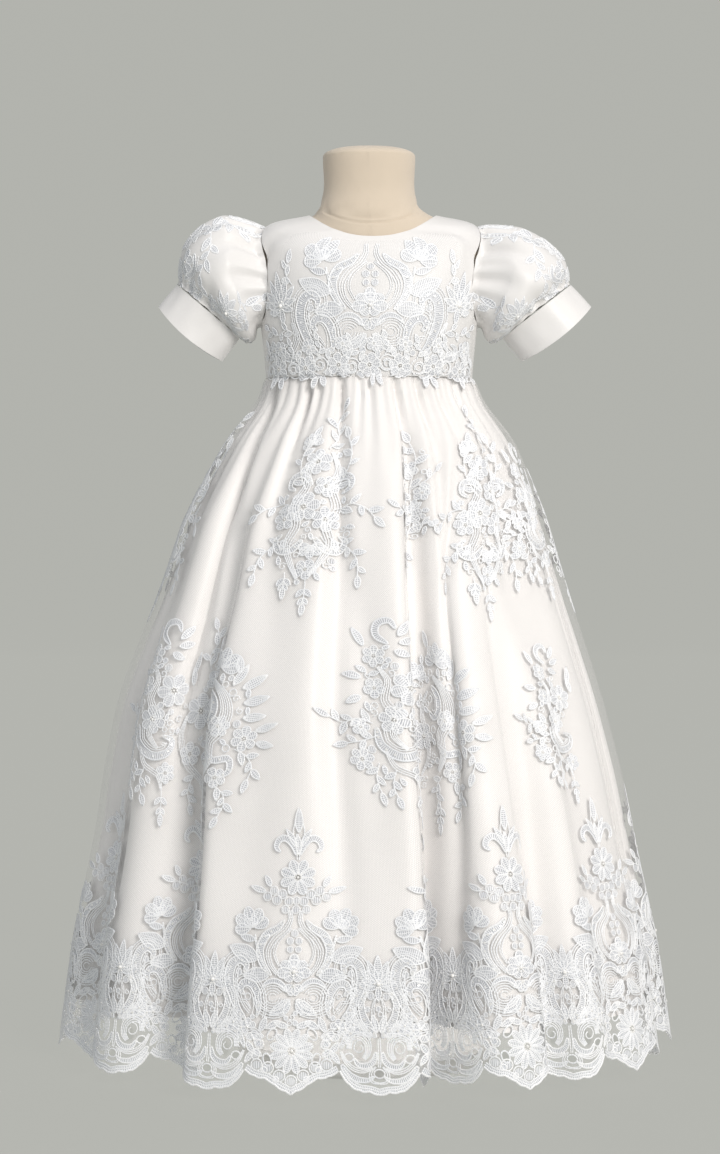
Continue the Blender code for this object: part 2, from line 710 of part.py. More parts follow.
def scallop(counts, is_daisy):
    """Flat triangles of one scallop: points (metres across, metres above the hem line) and faces."""
    width = (counts[-1] - counts[0]) * REPEAT
    edge = DAISY_EDGE if is_daisy else SHELL_EDGE
    rising = [(width * across, height) for across, height in edge]
    falling = [(width * (1 - across), height) for across, height in edge[-2::-1]]
    top = [((c - counts[0]) * REPEAT, BORDER_HEIGHT) for c in counts[::-1]]
    outline = [(0, NOTCH_HEIGHT), *rising, *falling, (width, NOTCH_HEIGHT), *top]
    gaps = list(daisy_gaps(width) if is_daisy else shell_gaps(width))
    points = list(outline)
    edges = [(i, (i + 1) % len(outline)) for i in range(len(outline))]
    for gap in gaps:
        first = len(points)
        points += gap
        edges += [(first + i, first + (i + 1) % len(gap)) for i in range(len(gap))]
    flat, _, faces, *_ = delaunay_2d_cdt(points, edges, [], 1, 1e-7)
    flat = np.array(flat)
    kept = [face for face in faces if not any(inside(flat[face].mean(axis=0), gap) for gap in gaps)]
    return flat, kept


def is_daisy_start(count):
    """Whether a daisy scallop begins at this column, one half width before a whole repeat."""
    return abs(count + DAISY_HALF - round(count + DAISY_HALF)) < 1e-6


def flat_grid(counts, waves, rows):
    """The panel's flat pattern as points (count, v, wave) and faces, the waist last."""
    points = [(c, v, w) for v in reversed(rows) for c, w in zip(counts, waves)]
    heights = np.array(rows[::-1])[:, None]
    cloth = skirt_smooth(skirt_angle(counts, heights), heights)
    between = (counts[:-1] + counts[1:]) / 2
    heights = (heights[:-1] + heights[1:]) / 2
    return points, grid_faces(cloth, skirt_smooth(skirt_angle(between, heights), heights))


def add_border(points, faces, counts, moved):
    """Adds each scallop's triangles to a flat pattern, joined to its lowest row by place."""
    known = {(round(c, 6), round(v, 6)): i for i, (c, v, _) in enumerate(points)}
    start = 0
    while start < len(counts) - 1:
        daisy = is_daisy_start(counts[start])
        steps = DAISY_COLUMNS if daisy else SHELL_COLUMNS
        part = moved[start:start + steps + 1]
        flat, triangles = scallop(part, daisy)
        index = []
        for across, height in flat:
            place = (part[0] + across / REPEAT, 1 - height / SKIRT_DROP)
            key = (round(place[0], 6), round(place[1], 6))
            if key not in known:
                known[key] = len(points)
                points.append((*place, 0.0))
            index.append(known[key])
        faces += [[index[i] for i in triangle] for triangle in triangles]
        start += steps


def hung_panel(name, points, faces, inset, look):
    """Hangs a flat pattern on the skirt's surface as a wall."""
    counts, v, waves = np.array(points).T
    outer = skirt_point(counts, v, waves, inset(v))
    inner = skirt_point(counts, v, waves, inset(v) + SKIRT_WALL)
    return two_skins(name, outer, inner, faces, look)


def no_inset(v):
    return 0.0 * v


def satin_inset(v):
    grown = np.clip(v / UNDERSKIRT_INSET_FULL, 0, 1)
    return UNDERSKIRT_INSET[0] + (UNDERSKIRT_INSET[1] - UNDERSKIRT_INSET[0]) * grown


def overskirt(name, first, last, first_index):
    """A tulle panel with its lace border, whose gaps are cut through."""
    counts = border_columns(first, last)
    moved = pull_in(counts)
    rows = [*SKIRT_ROWS, 1 - BORDER_HEIGHT / SKIRT_DROP]
    points, faces = flat_grid(moved, gather_wave(counts, first_index), rows)
    add_border(points, faces, counts, moved)
    return hung_panel(name, points, faces, no_inset, TULLE)


def underskirt(name, first, last, first_index):
    counts = border_columns(first, last)
    rows = [*SKIRT_ROWS, 1 - UNDERSKIRT_HEM / SKIRT_DROP]
    points, faces = flat_grid(pull_in(counts), gather_wave(counts, first_index), rows)
    return hung_panel(name, points, faces, satin_inset, SATIN)


def skirts():
    left = -3 + DAISY_HALF
    right = 4 - DAISY_HALF
    front_columns = len(border_columns(left, right)) - 1
    overskirt("overskirt_front", left, right, 0)
    overskirt("overskirt_back", right, left + REPEATS, front_columns)
    underskirt("underskirt_front", left, right, 0)
    underskirt("underskirt_back", right, left + REPEATS, front_columns)


# Form and stand

def form_angles(bite=0.0):
    """Ring angles that match the bodice panels' columns, with one more across each armhole."""
    bite = max(bite, FORM_LEAST_BITE)
    side = math.pi / 2
    front = np.linspace(-side + bite, side - bite, BODICE_COLUMNS + 1)
    back = np.linspace(side + bite, math.pi, BODICE_COLUMNS // 2 + 1)
    other_back = 2 * math.pi - back[-2::-1]
    return np.concatenate([front, [side], back, other_back, [3 * side]])


def flat_ring(z, half_x, half_y, lean, back):
    turn = form_angles()
    x = half_x * power(np.sin(turn)) + lean
    y = -half_y * power(np.cos(turn)) + back
    return np.stack([x, y, np.full(len(turn), z)], axis=-1)


def form():
    lean = BODY[0].lean
    rings = [flat_ring(row.z, row.half_x, row.half_y, lean, 0) for row in FORM_HIP]
    for v, bite in zip(*bodice_rows()):
        inset = SATIN_WALL + FORM_CLEARANCE + FORM_WAIST_EASE * max(0.0, 1 - v / FORM_EASE_END)
        rings.append(body_out(form_angles(bite), v, -inset))
    lean = BODY[-1].lean
    foot = FORM_NECK[0]
    rings.append(flat_ring(foot.z, foot.half_x + NECK_STEP, foot.half_y + NECK_STEP, lean, NECK_BACK))
    half, quarter = BODICE_COLUMNS // 2, BODICE_COLUMNS // 4
    front = "R" * half + "L" * half
    back = "R" * quarter + "L" * quarter
    solid_loft("form_body", rings, JERSEY, front + "RL" + back + back + "RL")
    neck = [flat_ring(row.z + SEAM_GAP, row.half_x, row.half_y, lean, NECK_BACK) for row in FORM_NECK]
    solid_loft("form_neck", neck, JERSEY)
    top = FORM_NECK[-1]
    cap = []
    for share in CAP_RING_SHARES:
        turn = share * math.pi / 2
        size = math.cos(turn * CAP_ROUND)
        z = top.z + 2 * SEAM_GAP + CAP_HEIGHT * math.sin(turn)
        cap.append(flat_ring(z, top.half_x * size, top.half_y * size, lean, NECK_BACK))
    solid_loft("form_neck_cap", cap, JERSEY)


def stand():
    bpy.ops.mesh.primitive_cylinder_add(vertices=36, radius=BASE_RADIUS, depth=BASE_HEIGHT)
    base = adopt(bpy.context.object, "stand_base", STEEL)
    base.location = (0, 0, BASE_HEIGHT / 2)
    rounded = base.modifiers.new("rounded", "BEVEL")
    rounded.width = 0.003
    rounded.segments = 1
    low = BASE_HEIGHT + SEAM_GAP
    high = FORM_HIP[0].z - SEAM_GAP
    bpy.ops.mesh.primitive_cylinder_add(vertices=20, radius=POLE_RADIUS, depth=high - low)
    pole = adopt(bpy.context.object, "stand_pole", STEEL)
    pole.location = (0, 0, (low + high) / 2)


for old in list(bpy.data.objects):
    bpy.data.objects.remove(old)
GOWN = collection(NAME)
form()
stand()
bodice()
lace_panel()
waist_trim()
buttons()
for sleeve_name in SIDE:
    sleeve(sleeve_name)
    cuff(sleeve_name)
skirts()
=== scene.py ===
"""Christening gown on a dress form: its cloth, lace, pearls and studio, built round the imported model.

Metres, +Z up, the gown's front faces -Y. The bodice and the form share one lofted body surface, and the
skirts share one hanging surface, both worked out from the tables below. Lace is drawn flat, in
millimetres, and laid on those surfaces.
"""

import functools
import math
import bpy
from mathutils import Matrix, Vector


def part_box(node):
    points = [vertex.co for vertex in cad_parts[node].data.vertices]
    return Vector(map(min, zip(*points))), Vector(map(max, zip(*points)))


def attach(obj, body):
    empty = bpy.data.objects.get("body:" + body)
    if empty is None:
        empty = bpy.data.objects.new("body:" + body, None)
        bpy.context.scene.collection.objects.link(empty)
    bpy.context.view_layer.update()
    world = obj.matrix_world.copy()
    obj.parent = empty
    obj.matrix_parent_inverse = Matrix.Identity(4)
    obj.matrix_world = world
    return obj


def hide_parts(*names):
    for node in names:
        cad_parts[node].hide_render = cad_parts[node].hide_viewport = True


bl_info = {
    "name": "Christening Gown",
    "version": (1, 0, 0),
    "blender": (4, 5, 0),
    "location": "View3D > Sidebar > Gown",
    "description": "Builds a christening gown's cloth, lace and pearls on its dress form",
    "category": "Add Mesh",
}

import bpy
import numpy as np
from bpy.props import FloatProperty, FloatVectorProperty, IntProperty, PointerProperty
from mathutils import Vector
from mathutils.geometry import delaunay_2d_cdt

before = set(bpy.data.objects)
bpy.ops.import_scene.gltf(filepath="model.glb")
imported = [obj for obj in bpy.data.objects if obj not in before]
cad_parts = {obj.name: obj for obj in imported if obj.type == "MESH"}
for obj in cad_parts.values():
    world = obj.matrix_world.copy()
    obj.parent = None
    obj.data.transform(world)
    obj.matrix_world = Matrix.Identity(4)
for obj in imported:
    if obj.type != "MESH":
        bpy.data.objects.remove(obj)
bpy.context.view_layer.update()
MM = 0.001

# Form and bodice: rows from the waist seam to the neckline, in millimetres
BODY_COLUMNS = ("v", "side_x", "side_z", "front_y", "front_z", "back_y", "back_z", "lean")
BODY = (
    (0, 90.5, 597, 65, 597, 60, 597, 1),
    (0.15, 92.2, 617, 68, 618, 62, 618, 1),
    (0.35, 95.3, 645, 70, 648, 64, 650, 1.2),
    (0.55, 98.2, 676, 67, 673, 65, 680, 1.8),
    (0.72, 99.8, 703, 61, 692, 62, 704, 2.2),
    (0.82, 98.8, 720.5, 56, 702, 57, 716, 2.6),
    (0.89, 90, 730.5, 52, 708, 52, 723, 3.2),
    (1, 56, 738.5, 45, 717, 41, 734, 4.2),
)
BODY_SQUARENESS = 2.25
ARMHOLE_LOW = 0.32
ARMHOLE_HIGH = 0.875
ARMHOLE_HALF_ANGLE = math.radians(28)
FORM_HIP = ((0.5, 0.068, 0.049), (0.506, 0.078, 0.055), (0.56, 0.081, 0.057), (0.588, 0.082, 0.057))
FORM_NECK = ((0.7475, 0.0435, 0.04), (0.753, 0.0415, 0.0385), (0.79, 0.0405, 0.038))
NECK_BACK = 0.002

# Bodice creases: ring angle and height of the middle, degrees the crease runs at, then half length, half
# width and depth in millimetres (a ridge where it is negative)
BODICE_CREASES = (
    (-52, 0.86, 38, 24, 5, 1.6), (-60, 0.78, 60, 18, 4.4, 1.4), (-44, 0.93, 20, 20, 4.7, -1.1),
    (48, 0.9, 150, 22, 4.7, 1.7), (58, 0.8, 128, 20, 4.5, 1.6), (50, 0.76, 100, 16, 4.2, -1.1),
    (66, 0.7, 112, 18, 3.7, 1.1), (-66, 0.66, 74, 18, 4, 1.2), (-72, 0.4, 80, 22, 3.7, 1.2),
    (74, 0.36, 98, 24, 3.7, 1.2), (128, 0.84, 34, 24, 5, 1.6), (150, 0.62, 66, 26, 5.2, 1.4),
    (118, 0.46, 104, 22, 4, 1.3), (162, 0.3, 96, 28, 4.8, 1.2), (-130, 0.82, 148, 24, 5, 1.6),
    (-148, 0.58, 112, 26, 4.4, 1.4), (-120, 0.4, 78, 22, 4, 1.3), (-164, 0.34, 86, 28, 4.8, 1.2),
)

# Puffed sleeve: rings from the armhole to the cuff seam in millimetres: x from the gown's middle and z of
# the top, the same of the underside, and half the depth
SLEEVE = (
    (116, 737.5, 100.7, 633, 41.5), (140, 734.5, 104.5, 629.2, 47), (160, 718.5, 108.2, 628.3, 45.5),
    (169.5, 698.5, 112, 629.6, 38.5), (171.5, 678.5, 115, 631.5, 29),
)
SLEEVE_KNOTS = (0, 0.035, 0.14, 0.36, 0.58, 0.8, 1)
SLEEVE_LIFT = 0.003
SLEEVE_WAY_OUT = (0.96, 0.28)
SLEEVE_ROOT_X = 0.098
SLEEVE_LEAN_V = 0.6
SLEEVE_REACH = {"left": 0.97, "right": 1.06}
SLEEVE_SAG = {"left": 0, "right": 0.012}
SIDE = {"left": -1, "right": 1}
CUFF_DEPTH = 0.026
CUFF_BOW = 1.015
CUFF_FLARE = 1.02
CUFF_DROP = 0.0045
# Soft dents in a cuff: degrees round, half width in degrees, depth in millimetres
CUFF_CREASES = (
    (-60, 14, 0.7), (-15, 16, 0.9), (34, 12, 1.2), (62, 10, 0.8), (96, 14, 1.3), (128, 12, 0.8), (170, 18, 0.8),
    (-110, 16, 1),
)

# Sleeve gathers as troughs: degrees round (0 on top, 90 in front), half width in degrees, depth in
# millimetres, and how far they run towards the other end
SHOULDER_GATHERS = (
    (-74, 7, 4, 0.4), (-52, 6, 6, 0.52), (-31, 6, 5, 0.32), (-12, 8, 6.8, 0.46), (8, 5, 4, 0.24), (24, 8, 8.2, 0.6),
    (41, 5, 4.6, 0.26), (57, 9, 8.6, 0.66), (75, 6, 5, 0.32), (93, 8, 6.6, 0.54), (114, 7, 3.8, 0.3),
    (146, 8, 3, 0.28), (-96, 8, 5, 0.44), (-120, 7, 3.2, 0.3), (-150, 8, 2.8, 0.26),
)
CUFF_GATHERS = (
    (-66, 8, 4, 0.4), (-44, 6, 3, 0.26), (-22, 8, 5, 0.5), (2, 6, 3.4, 0.28), (19, 8, 5.8, 0.56), (37, 5, 3.6, 0.24),
    (52, 8, 6.2, 0.5), (70, 6, 4, 0.3), (88, 9, 6, 0.52), (108, 7, 4, 0.34), (130, 8, 3, 0.28), (-90, 8, 4, 0.42),
    (-116, 8, 3, 0.28),
)

# Skirt silhouette from the waist seam to the hem in millimetres: height, half width, lean
SKIRT = (
    (597, 90.5, 1), (577, 98.5, 1.5), (542, 125, 1.5), (507, 143.5, -1), (472, 159.5, -3), (437, 171.5, -4),
    (401, 183.8, -4.8), (366, 196.5, -5.8), (313, 214, -6.5), (278, 222.5, -5.5), (243, 230, -4.3), (208, 236, -3.2),
    (173, 243, -3), (137, 251, -2.8), (102, 258, -2.2), (55, 265, -1.8), (10, 271, -1.5),
)
SKIRT_TOP_Z = 0.5961
HEM_Z = 0.01
SKIRT_DROP = SKIRT_TOP_Z - HEM_Z
SKIRT_DEPTH_RATIO = (0.715, 0.81)
REPEATS = 13
FIRST_REPEAT = math.radians(-13.3)
EVEN_UNTIL = 0.35
HEM_SAMPLES = 7201

# Folds: angle in degrees at the hem, depth in millimetres, widths to the left and right in degrees, how
# far the valley's floor slides sideways as a share of its depth, and where it begins (waist 0, hem 1)
FOLDS = (
    (-68, 20, 7, 6, 0, 0.2), (-41, 46, 7, 4.5, 0.25, 0), (-5, 9, 8, 8, 0, 0), (16.5, 69, 3.7, 4.4, -0.28, 0.04),
    (38, 27, 3, 3.5, -0.2, 0.3), (50, 6, 5, 5, 0, 0.1), (78, 24, 6, 7, 0, 0.12), (104, 34, 6, 6, 0.1, 0.05),
    (128, 36, 6, 5, 0, 0.15), (151, 32, 5, 6, 0.1, 0.03), (176, 40, 6, 5, -0.1, 0.1), (201, 34, 5, 6, 0, 0.06),
    (225, 36, 6, 6, 0.1, 0.18), (247, 34, 5, 6, 0, 0.05), (263, 18, 5, 5, 0, 0.22),
)
FOLD_ROUNDNESS = 2.4

# Waist gathers as troughs: lace repeats round from the front, half width in repeats, depth in millimetres,
# how far down they run (hem 1) and how far they drift sideways on the way, in repeats
GATHERS = (
    (-3.02, 0.08, 3.9, 0.22, 0), (-3, 0.06, 1.4, 0.14, 0.02), (-2.74, 0.11, 6.2, 0.48, 0.49),
    (-2.48, 0.06, 3, 0.18, 0), (-2.26, 0.08, 5.2, 0.34, 0.35), (-2.04, 0.06, 1.8, 0.13, 0),
    (-1.88, 0.06, 3, 0.18, 0.1), (-1.74, 0.09, 11.5, 0.34, 0.76), (-1.3, 0.05, 2.6, 0.15, 0.04),
    (-1.02, 0.05, 3, 0.18, 0.1), (-0.76, 0.08, 10, 0.38, 0.36), (-0.5, 0.07, 5.2, 0.26, 0.04),
    (-0.29, 0.05, 2.4, 0.16, 0), (-0.09, 0.08, 10.5, 0.5, 0.63), (0.14, 0.05, 2.4, 0.14, 0),
    (0.3, 0.06, 4, 0.24, 0.03), (0.49, 0.06, 4.6, 0.18, 0), (0.72, 0.05, 2.4, 0.14, 0), (0.96, 0.07, 9, 0.44, 0.4),
    (1.18, 0.05, 2.8, 0.16, 0), (1.4, 0.07, 8.5, 0.34, 0.33), (1.61, 0.05, 3.8, 0.24, 0.02),
    (1.86, 0.07, 5.2, 0.32, 0.29), (2.1, 0.05, 2.4, 0.16, 0), (2.34, 0.08, 6, 0.42, 0.41), (2.56, 0.06, 3.4, 0.16, 0),
    (2.8, 0.06, 2.4, 0.26, -0.03), (3.3, 0.07, 3.9, 0.18, 0), (3.58, 0.07, 2.3, 0.38, 0.05),
    (3.86, 0.06, 2.8, 0.15, 0), (4.12, 0.07, 1.7, 0.26, 0), (4.38, 0.06, 3.4, 0.13, 0.02),
    (4.66, 0.08, 2.7, 0.48, -0.05), (4.95, 0.06, 2.7, 0.2, 0), (5.2, 0.07, 4.2, 0.3, 0.04), (5.46, 0.05, 1.2, 0.12, 0),
    (5.74, 0.09, 5.4, 0.42, 0), (6.02, 0.06, 1.5, 0.18, -0.03), (6.28, 0.07, 4, 0.32, 0.05),
    (6.55, 0.05, 2.1, 0.14, 0), (6.84, 0.09, 5.4, 0.54, 0.03), (7.12, 0.06, 1.5, 0.18, 0),
    (7.38, 0.07, 3.9, 0.26, -0.04), (7.65, 0.06, 3.1, 0.14, 0), (7.93, 0.08, 2.9, 0.46, 0.05),
    (8.2, 0.07, 3.6, 0.16, 0), (8.47, 0.07, 2.2, 0.32, 0), (8.74, 0.05, 2.6, 0.12, 0), (9.02, 0.08, 2, 0.4, -0.05),
    (9.3, 0.07, 3.9, 0.18, 0), (9.58, 0.06, 2.2, 0.28, 0.03), (9.8, 0.05, 2.3, 0.14, 0),
)
GATHER_FULLNESS = 0.0022
GATHER_FADE = 0.34

# Long soft creases of the skirt: repeats round at the waist and at the hem, half width in repeats,
# depth in millimetres (a ridge where it is negative), where it starts and ends (waist 0, hem 1)
CREASES = (
    (-1.5, -1, 0.1, 11, 0.03, 0.62), (0.12, 0.36, 0.09, 8.5, 0.05, 0.8), (-0.95, -0.55, 0.11, -5.3, 0.05, 0.8),
    (-0.35, -0.3, 0.17, 3.2, 0.2, 0.95), (0.02, 0.1, 0.15, -3.9, 0.15, 0.75), (0.42, 0.52, 0.13, 2.8, 0.1, 0.7),
    (0.72, 0.78, 0.13, -4.6, 0.12, 1.05), (1.88, 1.48, 0.09, 8.5, 0.1, 0.9), (2.02, 1.88, 0.11, -3.2, 0.3, 1.05),
    (2.22, 2.16, 0.09, 3.9, 0.18, 0.9), (2.62, 2.72, 0.07, -5.6, 0.4, 1.05), (2.95, 2.96, 0.13, 2.8, 0.25, 0.95),
    (-1.7, -1.55, 0.13, -4.2, 0.1, 0.9), (-2.1, -2.05, 0.11, 3.5, 0.15, 1.05), (3.55, 3.62, 0.13, 4.2, 0.1, 0.85),
    (4.3, 4.4, 0.11, -3.9, 0.2, 1.05), (5.05, 5, 0.13, 3.9, 0.1, 0.75), (5.9, 6, 0.11, -4.6, 0.15, 1.05),
    (6.7, 6.62, 0.12, 4.2, 0.12, 0.95), (7.6, 7.7, 0.13, -3.9, 0.08, 0.85), (8.4, 8.36, 0.11, 4.2, 0.2, 1.05),
    (9.25, 9.32, 0.13, -4.2, 0.1, 0.9),
)
LINING_INSET = (0.0012, 0.0018, 0.0062)
LINING_INSET_FULL = 0.12
LINING_HEM = 0.046

# Hem border: a pointed daisy scallop and a round shell scallop fill one repeat. Edges are share across and
# height, and a shell's openings are share across, height, width, height and turn of an oval.
BORDER_HEIGHT = 0.054
DAISY_HALF = 0.27
NOTCH_HEIGHT = 0.018
DAISY_EDGE = ((0, 0.018), (0.11, 0.0135), (0.24, 0.0115), (0.37, 0.005), (0.5, 0))
SHELL_EDGE = ((0, 0.018), (0.1, 0.009), (0.25, 0.003), (0.38, 0.0022), (0.5, 0))
PICOT = 0.0009
DAISY_CENTRE = 0.034
DAISY_GAP_RING = 0.0214
DAISY_GAP_ANGLES = (-19, 38, 142, 199)
DAISY_GAP = (0.0105, 0.0065)
SHELL_GAPS = (
    (0.5, 0.017, 0.009, 0.007, 0), (0.3, 0.0345, 0.014, 0.01, 60), (0.7, 0.0345, 0.014, 0.01, 120),
    (0.12, 0.029, 0.008, 0.0065, 0), (0.88, 0.029, 0.008, 0.0065, 0),
)
GAP_CORNERS = 14
LEFT_SEAM, RIGHT_SEAM = -3 + DAISY_HALF, 4 - DAISY_HALF
PANELS = (("front", LEFT_SEAM, RIGHT_SEAM), ("back", RIGHT_SEAM, LEFT_SEAM + REPEATS))
# Daisy scallops (True) and shell scallops: share of a repeat, edge, picots and columns of the mesh
SCALLOPS = {True: (2 * DAISY_HALF, DAISY_EDGE, 9, 20), False: (1 - 2 * DAISY_HALF, SHELL_EDGE, 8, 17)}
DAISY_RINGS = (0, 9.8, 19.4, 29)
EDGE_BAND = 4.6

# Bodice and skirt seams, as ring angles and in repeats, and how far the bodice runs on round the armhole
BODICE_SEAM = 0.0016
ARMHOLE_TURNED = -0.005
SKIRT_SEAM = 0.004
CUFF_GAP = 0.0006
# Chest in millimetres: mean radius, and the bodice's height as its creases and its cloth measure it
CHEST_RADIUS = 78
CREASE_HEIGHT, CLOTH_HEIGHT = 125, 130

# Form: the cover's seam at the neck and its dip at front and back, its groove's depth and half width, and
# how far the second groove lies above the first
NECK_SEAM_Z, NECK_SEAM_DIP = 0.7445, 0.0155
GROOVE_DEPTH, GROOVE_HALF, GROOVE_APART = 0.0013, 0.0008, 0.0042
# Sleeve head tucked under the armhole's edge, and the fullness beside it
SLEEVE_TUCK, SLEEVE_FULLNESS = 0.0003, 0.0012
# Waist flowers: how far they stand off the bodice, and how much more over the gathers
WAIST_LIFT, WAIST_CLEAR = 0.0009, 0.002

LOOP_RADIUS, LOOP_DROP, LOOP_THREAD = 0.0054, 0.0017, 0.0005
BUTTON_RADIUS = 0.0045
BUTTON_HEIGHTS = (0.1, 0.32, 0.54, 0.76, 0.95)
BUTTON_PROFILE = ((0.02, -0.0025), (0.7, -0.0023), (0.97, -0.0012), (1, 0), (0.94, 0.0011), (0.74, 0.0019),
                  (0.42, 0.0024), (0.02, 0.0025))

# Mesh steps: flat lace in millimetres, nets in metres, and points round and along the cloth
CORD_STEP = 1.8
FILL_STEP = 2
FINE_LEAF = 6
NET_STEP = 0.0042
TULLE_ROWS = 72
SATIN_ROWS = 54
SATIN_COLUMNS_EACH = 24
FORM_COLUMNS = 96
PUFF_GRID = (144, 36)
# Lace above its cloth: foot, sequins and the share of a filling's rise in millimetres, the net in metres
LACE_FOOT = 0.16
SEQUIN_LIFT = 0.9
CORD_SIZE = 1.05
FILL_RISE = 0.3
NET_OUT = 0.0005


# Helpers

def direction(angle, length=1):
    """The step of a length at an angle in degrees: its cosine and sine."""
    turn = math.radians(angle)
    return np.array([math.cos(turn), math.sin(turn)]) * length


def around(count):
    """Angles evenly round a circle."""
    return 2 * math.pi * np.arange(count) / count


def joined(*parts):
    """Points from their coordinates, each an array or one value for all."""
    return np.stack(np.broadcast_arrays(*parts), axis=-1)


def wrapped(value, whole):
    """A value brought to within half a whole of zero."""
    return np.remainder(value + whole / 2, whole) - whole / 2


def run(line):
    """How far along a line each point is."""
    return np.concatenate([[0], np.cumsum(np.linalg.norm(np.diff(line, axis=0), axis=1))])


def smooth(at, knots, values):
    """A cubic curve through the knots, with the slope of its neighbours at each. Values may be arrays."""
    knots, values, at = (np.asarray(a, float) for a in (knots, values, at))
    slopes = np.gradient(values, knots, axis=0)
    left = np.clip(np.searchsorted(knots, at, side="right") - 1, 0, len(knots) - 2)
    tail = (...,) + (None,) * (values.ndim - 1)
    step = (knots[left + 1] - knots[left])[tail]
    t = (at - knots[left])[tail] / step
    rise, start, end = values[left + 1] - values[left], slopes[left] * step, slopes[left + 1] * step
    return values[left] + t * (start + t * (3 * rise - 2 * start - end + t * (start + end - 2 * rise)))


def column_value(rows, column, at):
    """A column of a table as a smooth curve over its first one."""
    return smooth(at, [row[0] for row in rows], [row[column] for row in rows])


# Surfaces

def body_value(name, v):
    return column_value(BODY, BODY_COLUMNS.index(name), v) * MM


def power(value):
    """The sine or cosine of a rounded oval: its size to a power under 1, with its sign."""
    return np.sign(value) * np.abs(value) ** (2 / BODY_SQUARENESS)


def body_point(angle, v):
    """The bodice's outer skin: a rounded oval at each height, its rim dipping at front and back."""
    angle, v = np.broadcast_arrays(angle, v)
    front = np.cos(angle) >= 0
    reach = np.where(front, -body_value("front_y", v), -body_value("back_y", v))
    far_z = np.where(front, body_value("front_z", v), body_value("back_z", v))
    side_z = body_value("side_z", v)
    x = body_value("side_x", v) * power(np.sin(angle)) + body_value("lean", v)
    return joined(x, reach * power(np.cos(angle)), side_z + (far_z - side_z) * np.cos(angle) ** 2)


def facing(surface, angle, v, up):
    """Unit normal of a surface, outwards. up is +1 where v grows upwards and -1 where it falls."""
    step = 1e-4
    along = surface(angle + step, v) - surface(angle - step, v)
    rise = (surface(angle, v + step) - surface(angle, v - step)) * up
    normal = np.cross(along, rise)
    return normal / np.linalg.norm(normal, axis=-1, keepdims=True)


def creased(angle, v):
    """Outward displacement of the bodice by its creases: long narrow bells along each crease's line."""
    out = np.zeros(np.broadcast(angle, v).shape)
    for middle, height, turn, long, wide, depth in BODICE_CREASES:
        x = wrapped(angle - math.radians(middle), 2 * math.pi) * CHEST_RADIUS
        z = (v - height) * CREASE_HEIGHT
        c, s = direction(turn)
        out = out - MM * depth * np.exp(-((x * c + z * s) / long) ** 2 - ((z * c - x * s) / wide) ** 2)
    return out


def chest_v(z):
    """The bodice's height share at a height above the waist seam, measured at the front centre."""
    return np.interp(z / MM, [row[4] - BODY[0][4] for row in BODY], [row[0] for row in BODY])


def bodice_point(angle, v, out=0):
    """The creased bodice, moved out."""
    angle, v = np.broadcast_arrays(angle, v)
    return body_point(angle, v) + (out + creased(angle, v))[..., None] * facing(body_point, angle, v, 1)


def skirt_smooth(angle, v):
    """The skirt's outer skin without gathers: an oval widening with v, with bell-shaped folds pressed in."""
    angle, v = np.broadcast_arrays(angle, v)
    z = SKIRT_TOP_Z - v * SKIRT_DROP
    half_x, middle = (column_value(SKIRT[::-1], column, z / MM) * MM for column in (1, 2))
    half_y = half_x * (SKIRT_DEPTH_RATIO[0] + (SKIRT_DEPTH_RATIO[1] - SKIRT_DEPTH_RATIO[0]) * v)
    normal_x, normal_y = half_y * np.sin(angle), -half_x * np.cos(angle)
    length = np.hypot(normal_x, normal_y)
    normal_x, normal_y = normal_x / length, normal_y / length
    x = half_x * np.sin(angle) + middle
    y = -half_y * np.cos(angle)
    for at, depth, left, right, lean, start in FOLDS:
        off = wrapped(np.degrees(angle) - at, 360)
        grown = np.clip((v - start) / (1 - start), 0, None)
        press = MM * depth * grown * np.exp(-np.abs(off / np.where(off < 0, left, right)) ** FOLD_ROUNDNESS)
        x = x - press * (normal_x + lean * normal_y)
        y = y - press * (normal_y - lean * normal_x)
    return joined(x, y, z)


def hem_angles():
    """Ring angles and the repeats that the hem's length counts at each."""
    angles = np.radians(np.linspace(-180, 180, HEM_SAMPLES)) + FIRST_REPEAT
    length = run(skirt_smooth(angles, 1))
    repeat = length[-1] / REPEATS
    return angles, (length - np.interp(FIRST_REPEAT, angles, length)) / repeat, repeat


HEM_ANGLES, HEM_COUNTS, REPEAT = hem_angles()


def skirt_angle(count, v):
    """The ring angle of a column: evenly spread at the waist, by the cloth's length lower down."""
    count = np.asarray(count, float)
    turns = np.floor((count - HEM_COUNTS[0]) / REPEATS)
    hem = np.interp(count - turns * REPEATS, HEM_COUNTS, HEM_ANGLES) + turns * 2 * math.pi
    even_spread = FIRST_REPEAT + count * 2 * math.pi / REPEATS
    t = np.clip(np.asarray(v, float) / EVEN_UNTIL, 0, 1)
    return even_spread + (hem - even_spread) * t * t * (3 - 2 * t)


def gathered(count, v):
    """Outward displacement by gathers and creases: narrow troughs fading downwards, and wide bells."""
    out = GATHER_FULLNESS * np.clip(v / 0.01, 0.3, 1) * np.clip(1 - v / GATHER_FADE, 0, 1)
    for at, wide, depth, reach, drift in GATHERS:
        fade = np.clip(1 - v / reach, 0, 1) ** 0.8 * np.clip(v / 0.015, 0.15, 1)
        apart = wrapped(count - (at + drift * v / reach), REPEATS)
        out = out - MM * depth * fade * np.exp(-(apart / (wide * (1 + v / reach))) ** 2)
    for top, low, wide, depth, start, end in CREASES:
        fade = np.sin(math.pi * np.clip((v - start) / (end - start), 0, 1)) ** 0.7
        out = out - MM * depth * fade * np.exp(-(wrapped(count - (top + (low - top) * v), REPEATS) / wide) ** 2)
    return out


